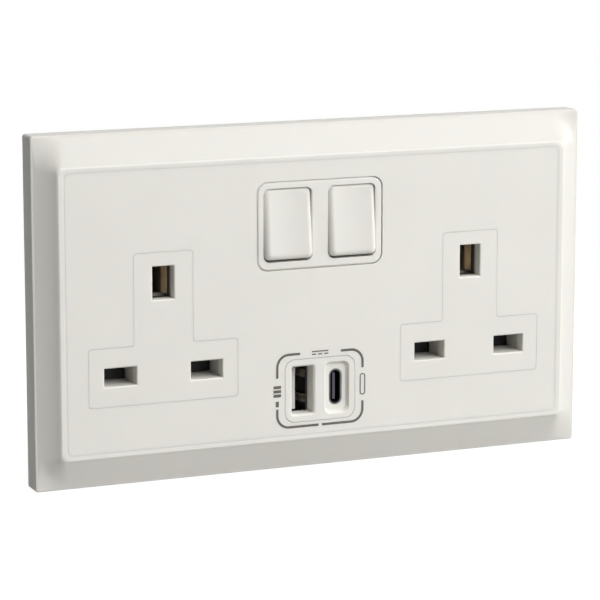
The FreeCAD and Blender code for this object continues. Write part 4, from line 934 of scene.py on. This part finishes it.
# %% The signs
# Three bars and a drop, for charging, in the left gap
for level in (-21.75, -22.8, -23.85):
    bands.append(band([(-LINE_X - 1.0, level), (-LINE_X + 1.0, level)], 0.75))
drop = [(-LINE_X, -25.3), (-LINE_X, -25.9), (-LINE_X, -26.7)]
bands.append(band(drop, 0.8))

# A bar over three dashes, for direct current, in the top gap
FINE_STROKE, BAR_LEVEL, DASH_LEVEL = 0.3, -13.45, -14.15
bands.append(band([(-2.2, BAR_LEVEL), (2.2, BAR_LEVEL)], FINE_STROKE))
for middle in (-1.65, 0.0, 1.65):
    dash = [(middle - 0.55, DASH_LEVEL), (middle + 0.55, DASH_LEVEL)]
    bands.append(band(dash, FINE_STROKE))

# The outline of a rounded port, in the right gap
SIGN_LINE, SIGN_RUN, SIGN_RADIUS, SIGN_STROKE = -22.7, 2.0, 0.62, 0.28
outline = np.concatenate([
    arc_between((LINE_X, SIGN_LINE + SIGN_RUN), SIGN_RADIUS, 0, 180),
    arc_between((LINE_X, SIGN_LINE - SIGN_RUN), SIGN_RADIUS, 180, 360),
])
points, faces = strips_joined(bands, [closed_band(outline, SIGN_STROKE)])
ink = mesh_object("printed_line", points, faces, ink_grey)
face_outwards(ink.data)
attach(ink, "socket")
print(ink.name, "strokes", len(bands) + 1, "triangles", triangle_count(ink))

# %% [markdown]
# ## Contacts in the USB ports
# The USB-A port has four gilt contacts on its tongue and two sprung fingers in the far wall of its
# shell, which glint in the photo. The USB-C tongue has a row of fine gilt pads on each side. They
# could be colours on the tongues, but metal shows by its own edges. So each is a thin strip,
# carried along a path of its own.

# %% Bent strips
def strip_grid(path, low, high, thickness):
    """A metal strip: a path in X and level, carried from low to high along Z, with a thickness."""
    path = np.asarray(path, float)
    off = sideways(path) * thickness
    corners = [(path, low), (path, high), (path + off, high), (path + off, low)]
    lines = [np.stack([p[:, 0], -p[:, 1], np.full(len(p), z)], axis=-1) for p, z in corners]
    return np.stack(lines, axis=1)


def strips_mesh(name, strips, finish):
    """Capped strips as one piece, with smooth bends."""
    made = mesh_object(name, *strips_joined(strips), finish)
    face_outwards(made.data)
    smooth_between(made.data, 35)
    print(made.name, "strips", len(strips), "triangles", triangle_count(made))
    return made


# %% Spring fingers
A_WALL, WALL_GAP = -PORT_X + 2.55, 0.02
FINGER_OUT, FINGER_BEND = 1.0, 1.3
FINGER_LEVEL, FINGER_RUN = 4.3, 6.4
FINGER_SPOTS, FINGER_HALF, FINGER_SHEET = (-3.15, 3.15), 1.0, 0.12
share = np.linspace(0, 1, 15)
finger_x = A_WALL - WALL_GAP - FINGER_OUT * np.sin(math.pi * share) ** FINGER_BEND
finger_path = np.stack([finger_x, FINGER_LEVEL - FINGER_RUN * share], axis=-1)
fingers = [
    strip_grid(finger_path, USB_LINE + z - FINGER_HALF, USB_LINE + z + FINGER_HALF, FINGER_SHEET)
    for z in FINGER_SPOTS
]
shell_fingers = strips_mesh("usb_a_fingers", fingers, steel)
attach(shell_fingers, "socket")

# %% USB-A contacts
TONGUE_FACE = -PORT_X - 1.2 + 0.92
CONTACT_LOW, CONTACT_HIGH = TONGUE_FACE + 0.10, TONGUE_FACE + 0.14
CONTACT_HALF, CONTACT_SHEET = 0.5, 0.12
contact_path = [(CONTACT_LOW, 4.2), (CONTACT_HIGH, 3.9), (CONTACT_HIGH, -4.0), (CONTACT_LOW, -5.2)]
a_strips = [
    strip_grid(
        contact_path, USB_LINE + z - CONTACT_HALF, USB_LINE + z + CONTACT_HALF, -CONTACT_SHEET
    )
    for z in (-3.5, -1.0, 1.0, 3.5)
]
a_contacts = strips_mesh("usb_a_contacts", a_strips, gold)
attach(a_contacts, "socket")

# %% USB-C pads
PADS, PAD_PITCH, FIRST_PAD, PAD_HALF, PAD_SHEET = 12, 0.5, 2.75, 0.13, 0.03
C_TONGUE_HALF, PAD_PROUD = 0.35, 0.02
PAD_LEVELS = (5.2, 3.0, -4.5)
c_strips = []
for number in range(PADS):
    z = USB_LINE - FIRST_PAD + PAD_PITCH * number
    for sign in (-1, 1):
        face = PORT_X + sign * C_TONGUE_HALF
        path = [(face + sign * PAD_PROUD, level) for level in PAD_LEVELS]
        c_strips.append(strip_grid(path, z - PAD_HALF, z + PAD_HALF, sign * PAD_SHEET))
c_contacts = strips_mesh("usb_c_contacts", c_strips, gold)
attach(c_contacts, "socket")

# %% [markdown]
# ## Studio
# The light comes from above, in front and to the right, as the photo's bright top and right flanks
# and its darker left and lower ones show. A pale floor carries the plate. More light would turn
# the background white, but the plate with it. So the floor and the world are plain white only for
# the rays that see them, and light the plate at a plain level.

# %% World
LIGHT_COLOUR, LIGHT_LEVEL = (1, 0.995, 0.985, 1), 0.115


def seen_by(tree, kinds):
    """1 for a ray of one of the kinds, and 0 for every other: the largest of their outputs."""
    rays = tree.nodes.new("ShaderNodeLightPath")
    found = rays.outputs[kinds[0]]
    for kind in kinds[1:]:
        either = tree.nodes.new("ShaderNodeMath")
        either.operation = "MAXIMUM"
        tree.links.new(found, either.inputs[0])
        tree.links.new(rays.outputs[kind], either.inputs[1])
        found = either.outputs[0]
    return found


world = bpy.data.worlds.new("studio")
bpy.context.scene.world = world
world.use_nodes = True
tree = world.node_tree
tree.nodes.clear()
white = tree.nodes.new("ShaderNodeBackground")
white.inputs["Color"].default_value = (1, 1, 1, 1)
white.inputs["Strength"].default_value = 1.0
light = tree.nodes.new("ShaderNodeBackground")
light.inputs["Color"].default_value = LIGHT_COLOUR
light.inputs["Strength"].default_value = LIGHT_LEVEL
mix = tree.nodes.new("ShaderNodeMixShader")
out = tree.nodes.new("ShaderNodeOutputWorld")
sees = seen_by(tree, ("Is Camera Ray", "Is Glossy Ray", "Is Transmission Ray"))
tree.links.new(sees, mix.inputs["Fac"])
tree.links.new(light.outputs[0], mix.inputs[1])
tree.links.new(white.outputs[0], mix.inputs[2])
tree.links.new(mix.outputs[0], out.inputs["Surface"])
print("world light", LIGHT_LEVEL)

# %% Floor
FLOOR_Z, FLOOR_HALF = -43.2, 4000.0
FLOOR_COLOUR, FLOOR_ROUGH, FLOOR_LIFT = (0.36, 0.36, 0.355, 1), 0.9, 0.90
FLOOR_NEAR, FLOOR_FAR = 120.0, 320.0


def floor_finish():
    """A pale floor that turns to plain white away from the object, for the camera's rays only."""
    made, tree, shader = new_finish("studio_floor")
    shader.inputs["Base Color"].default_value = FLOOR_COLOUR
    shader.inputs["Roughness"].default_value = FLOOR_ROUGH
    place = tree.nodes.new("ShaderNodeTexCoord")
    reach = tree.nodes.new("ShaderNodeVectorMath")
    reach.operation = "LENGTH"
    near = tree.nodes.new("ShaderNodeMapRange")
    near.interpolation_type = "SMOOTHSTEP"
    near.inputs["From Min"].default_value = FLOOR_NEAR * MM
    near.inputs["From Max"].default_value = FLOOR_FAR * MM
    glow = tree.nodes.new("ShaderNodeEmission")
    lift = tree.nodes.new("ShaderNodeEmission")
    lift.inputs["Strength"].default_value = FLOOR_LIFT
    add = tree.nodes.new("ShaderNodeAddShader")
    far = tree.nodes.new("ShaderNodeMixShader")
    choose = tree.nodes.new("ShaderNodeMixShader")
    out = tree.nodes["Material Output"]
    tree.links.new(place.outputs["Object"], reach.inputs[0])
    tree.links.new(reach.outputs["Value"], near.inputs["Value"])
    tree.links.new(shader.outputs[0], add.inputs[0])
    tree.links.new(lift.outputs[0], add.inputs[1])
    tree.links.new(near.outputs["Result"], far.inputs["Fac"])
    tree.links.new(add.outputs[0], far.inputs[1])
    tree.links.new(glow.outputs[0], far.inputs[2])
    tree.links.new(seen_by(tree, ("Is Camera Ray", "Is Glossy Ray")), choose.inputs["Fac"])
    tree.links.new(shader.outputs[0], choose.inputs[1])
    tree.links.new(far.outputs[0], choose.inputs[2])
    tree.links.new(choose.outputs[0], out.inputs["Surface"])
    return made


signs = ((-1, -1), (1, -1), (1, 1), (-1, 1))
floor_corners = [(x * FLOOR_HALF, y * FLOOR_HALF, FLOOR_Z) for x, y in signs]
floor = mesh_object("floor", floor_corners, [(0, 1, 2, 3)], floor_finish())
floor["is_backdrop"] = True
print("floor at", FLOOR_Z, "white from", FLOOR_FAR, "out")

# %% Lamps
def lamp(name, direction, distance, size, power):
    """A square soft lamp at a distance from the object, turned towards it, in metres and watts."""
    data = bpy.data.lights.new(name, "AREA")
    data.size = size
    data.energy = power
    made = bpy.data.objects.new(name, data)
    bpy.context.scene.collection.objects.link(made)
    way = Vector(direction).normalized()
    made.location = way * distance
    made.rotation_mode = "QUATERNION"
    made.rotation_quaternion = way.to_track_quat("Z", "Y")
    print("lamp", name, "power", power)


lamp("key", direction=(0.367, -0.71, 0.45), distance=1.4, size=1.0, power=17.3)
lamp("side", direction=(0.985, -0.15, 0.08), distance=1.6, size=0.8, power=12.9)
lamp("top", direction=(0.05, -0.20, 0.98), distance=1.6, size=0.8, power=6.6)

# %% Camera
AZIMUTH, ELEVATION = math.radians(-23.16), math.radians(10.36)
DISTANCE, LENS, SENSOR = 695.0, 168.7, 36.0
TARGET = Vector((-3.6, -4.75, -1.1))
back = Vector((
    math.sin(AZIMUTH) * math.cos(ELEVATION),
    -math.cos(AZIMUTH) * math.cos(ELEVATION),
    math.sin(ELEVATION),
))
eye = bpy.data.cameras.new("camera")
eye.lens, eye.sensor_width = LENS, SENSOR
eye.clip_start, eye.clip_end = 0.01, 20.0
camera = bpy.data.objects.new("camera", eye)
bpy.context.scene.collection.objects.link(camera)
camera.location = (TARGET + back * DISTANCE) * MM
camera.rotation_mode = "QUATERNION"
camera.rotation_quaternion = back.to_track_quat("Z", "Y")
bpy.context.scene.camera = camera
bpy.context.scene.view_settings.view_transform = "Standard"
print("camera at", [round(v, 3) for v in camera.location])

# %% Sizes and the end
new_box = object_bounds()
grown = [[round((b - a) / MM, 3) for a, b in zip(p, q)] for p, q in zip(cad_box, new_box)]
print("size change in mm", grown)
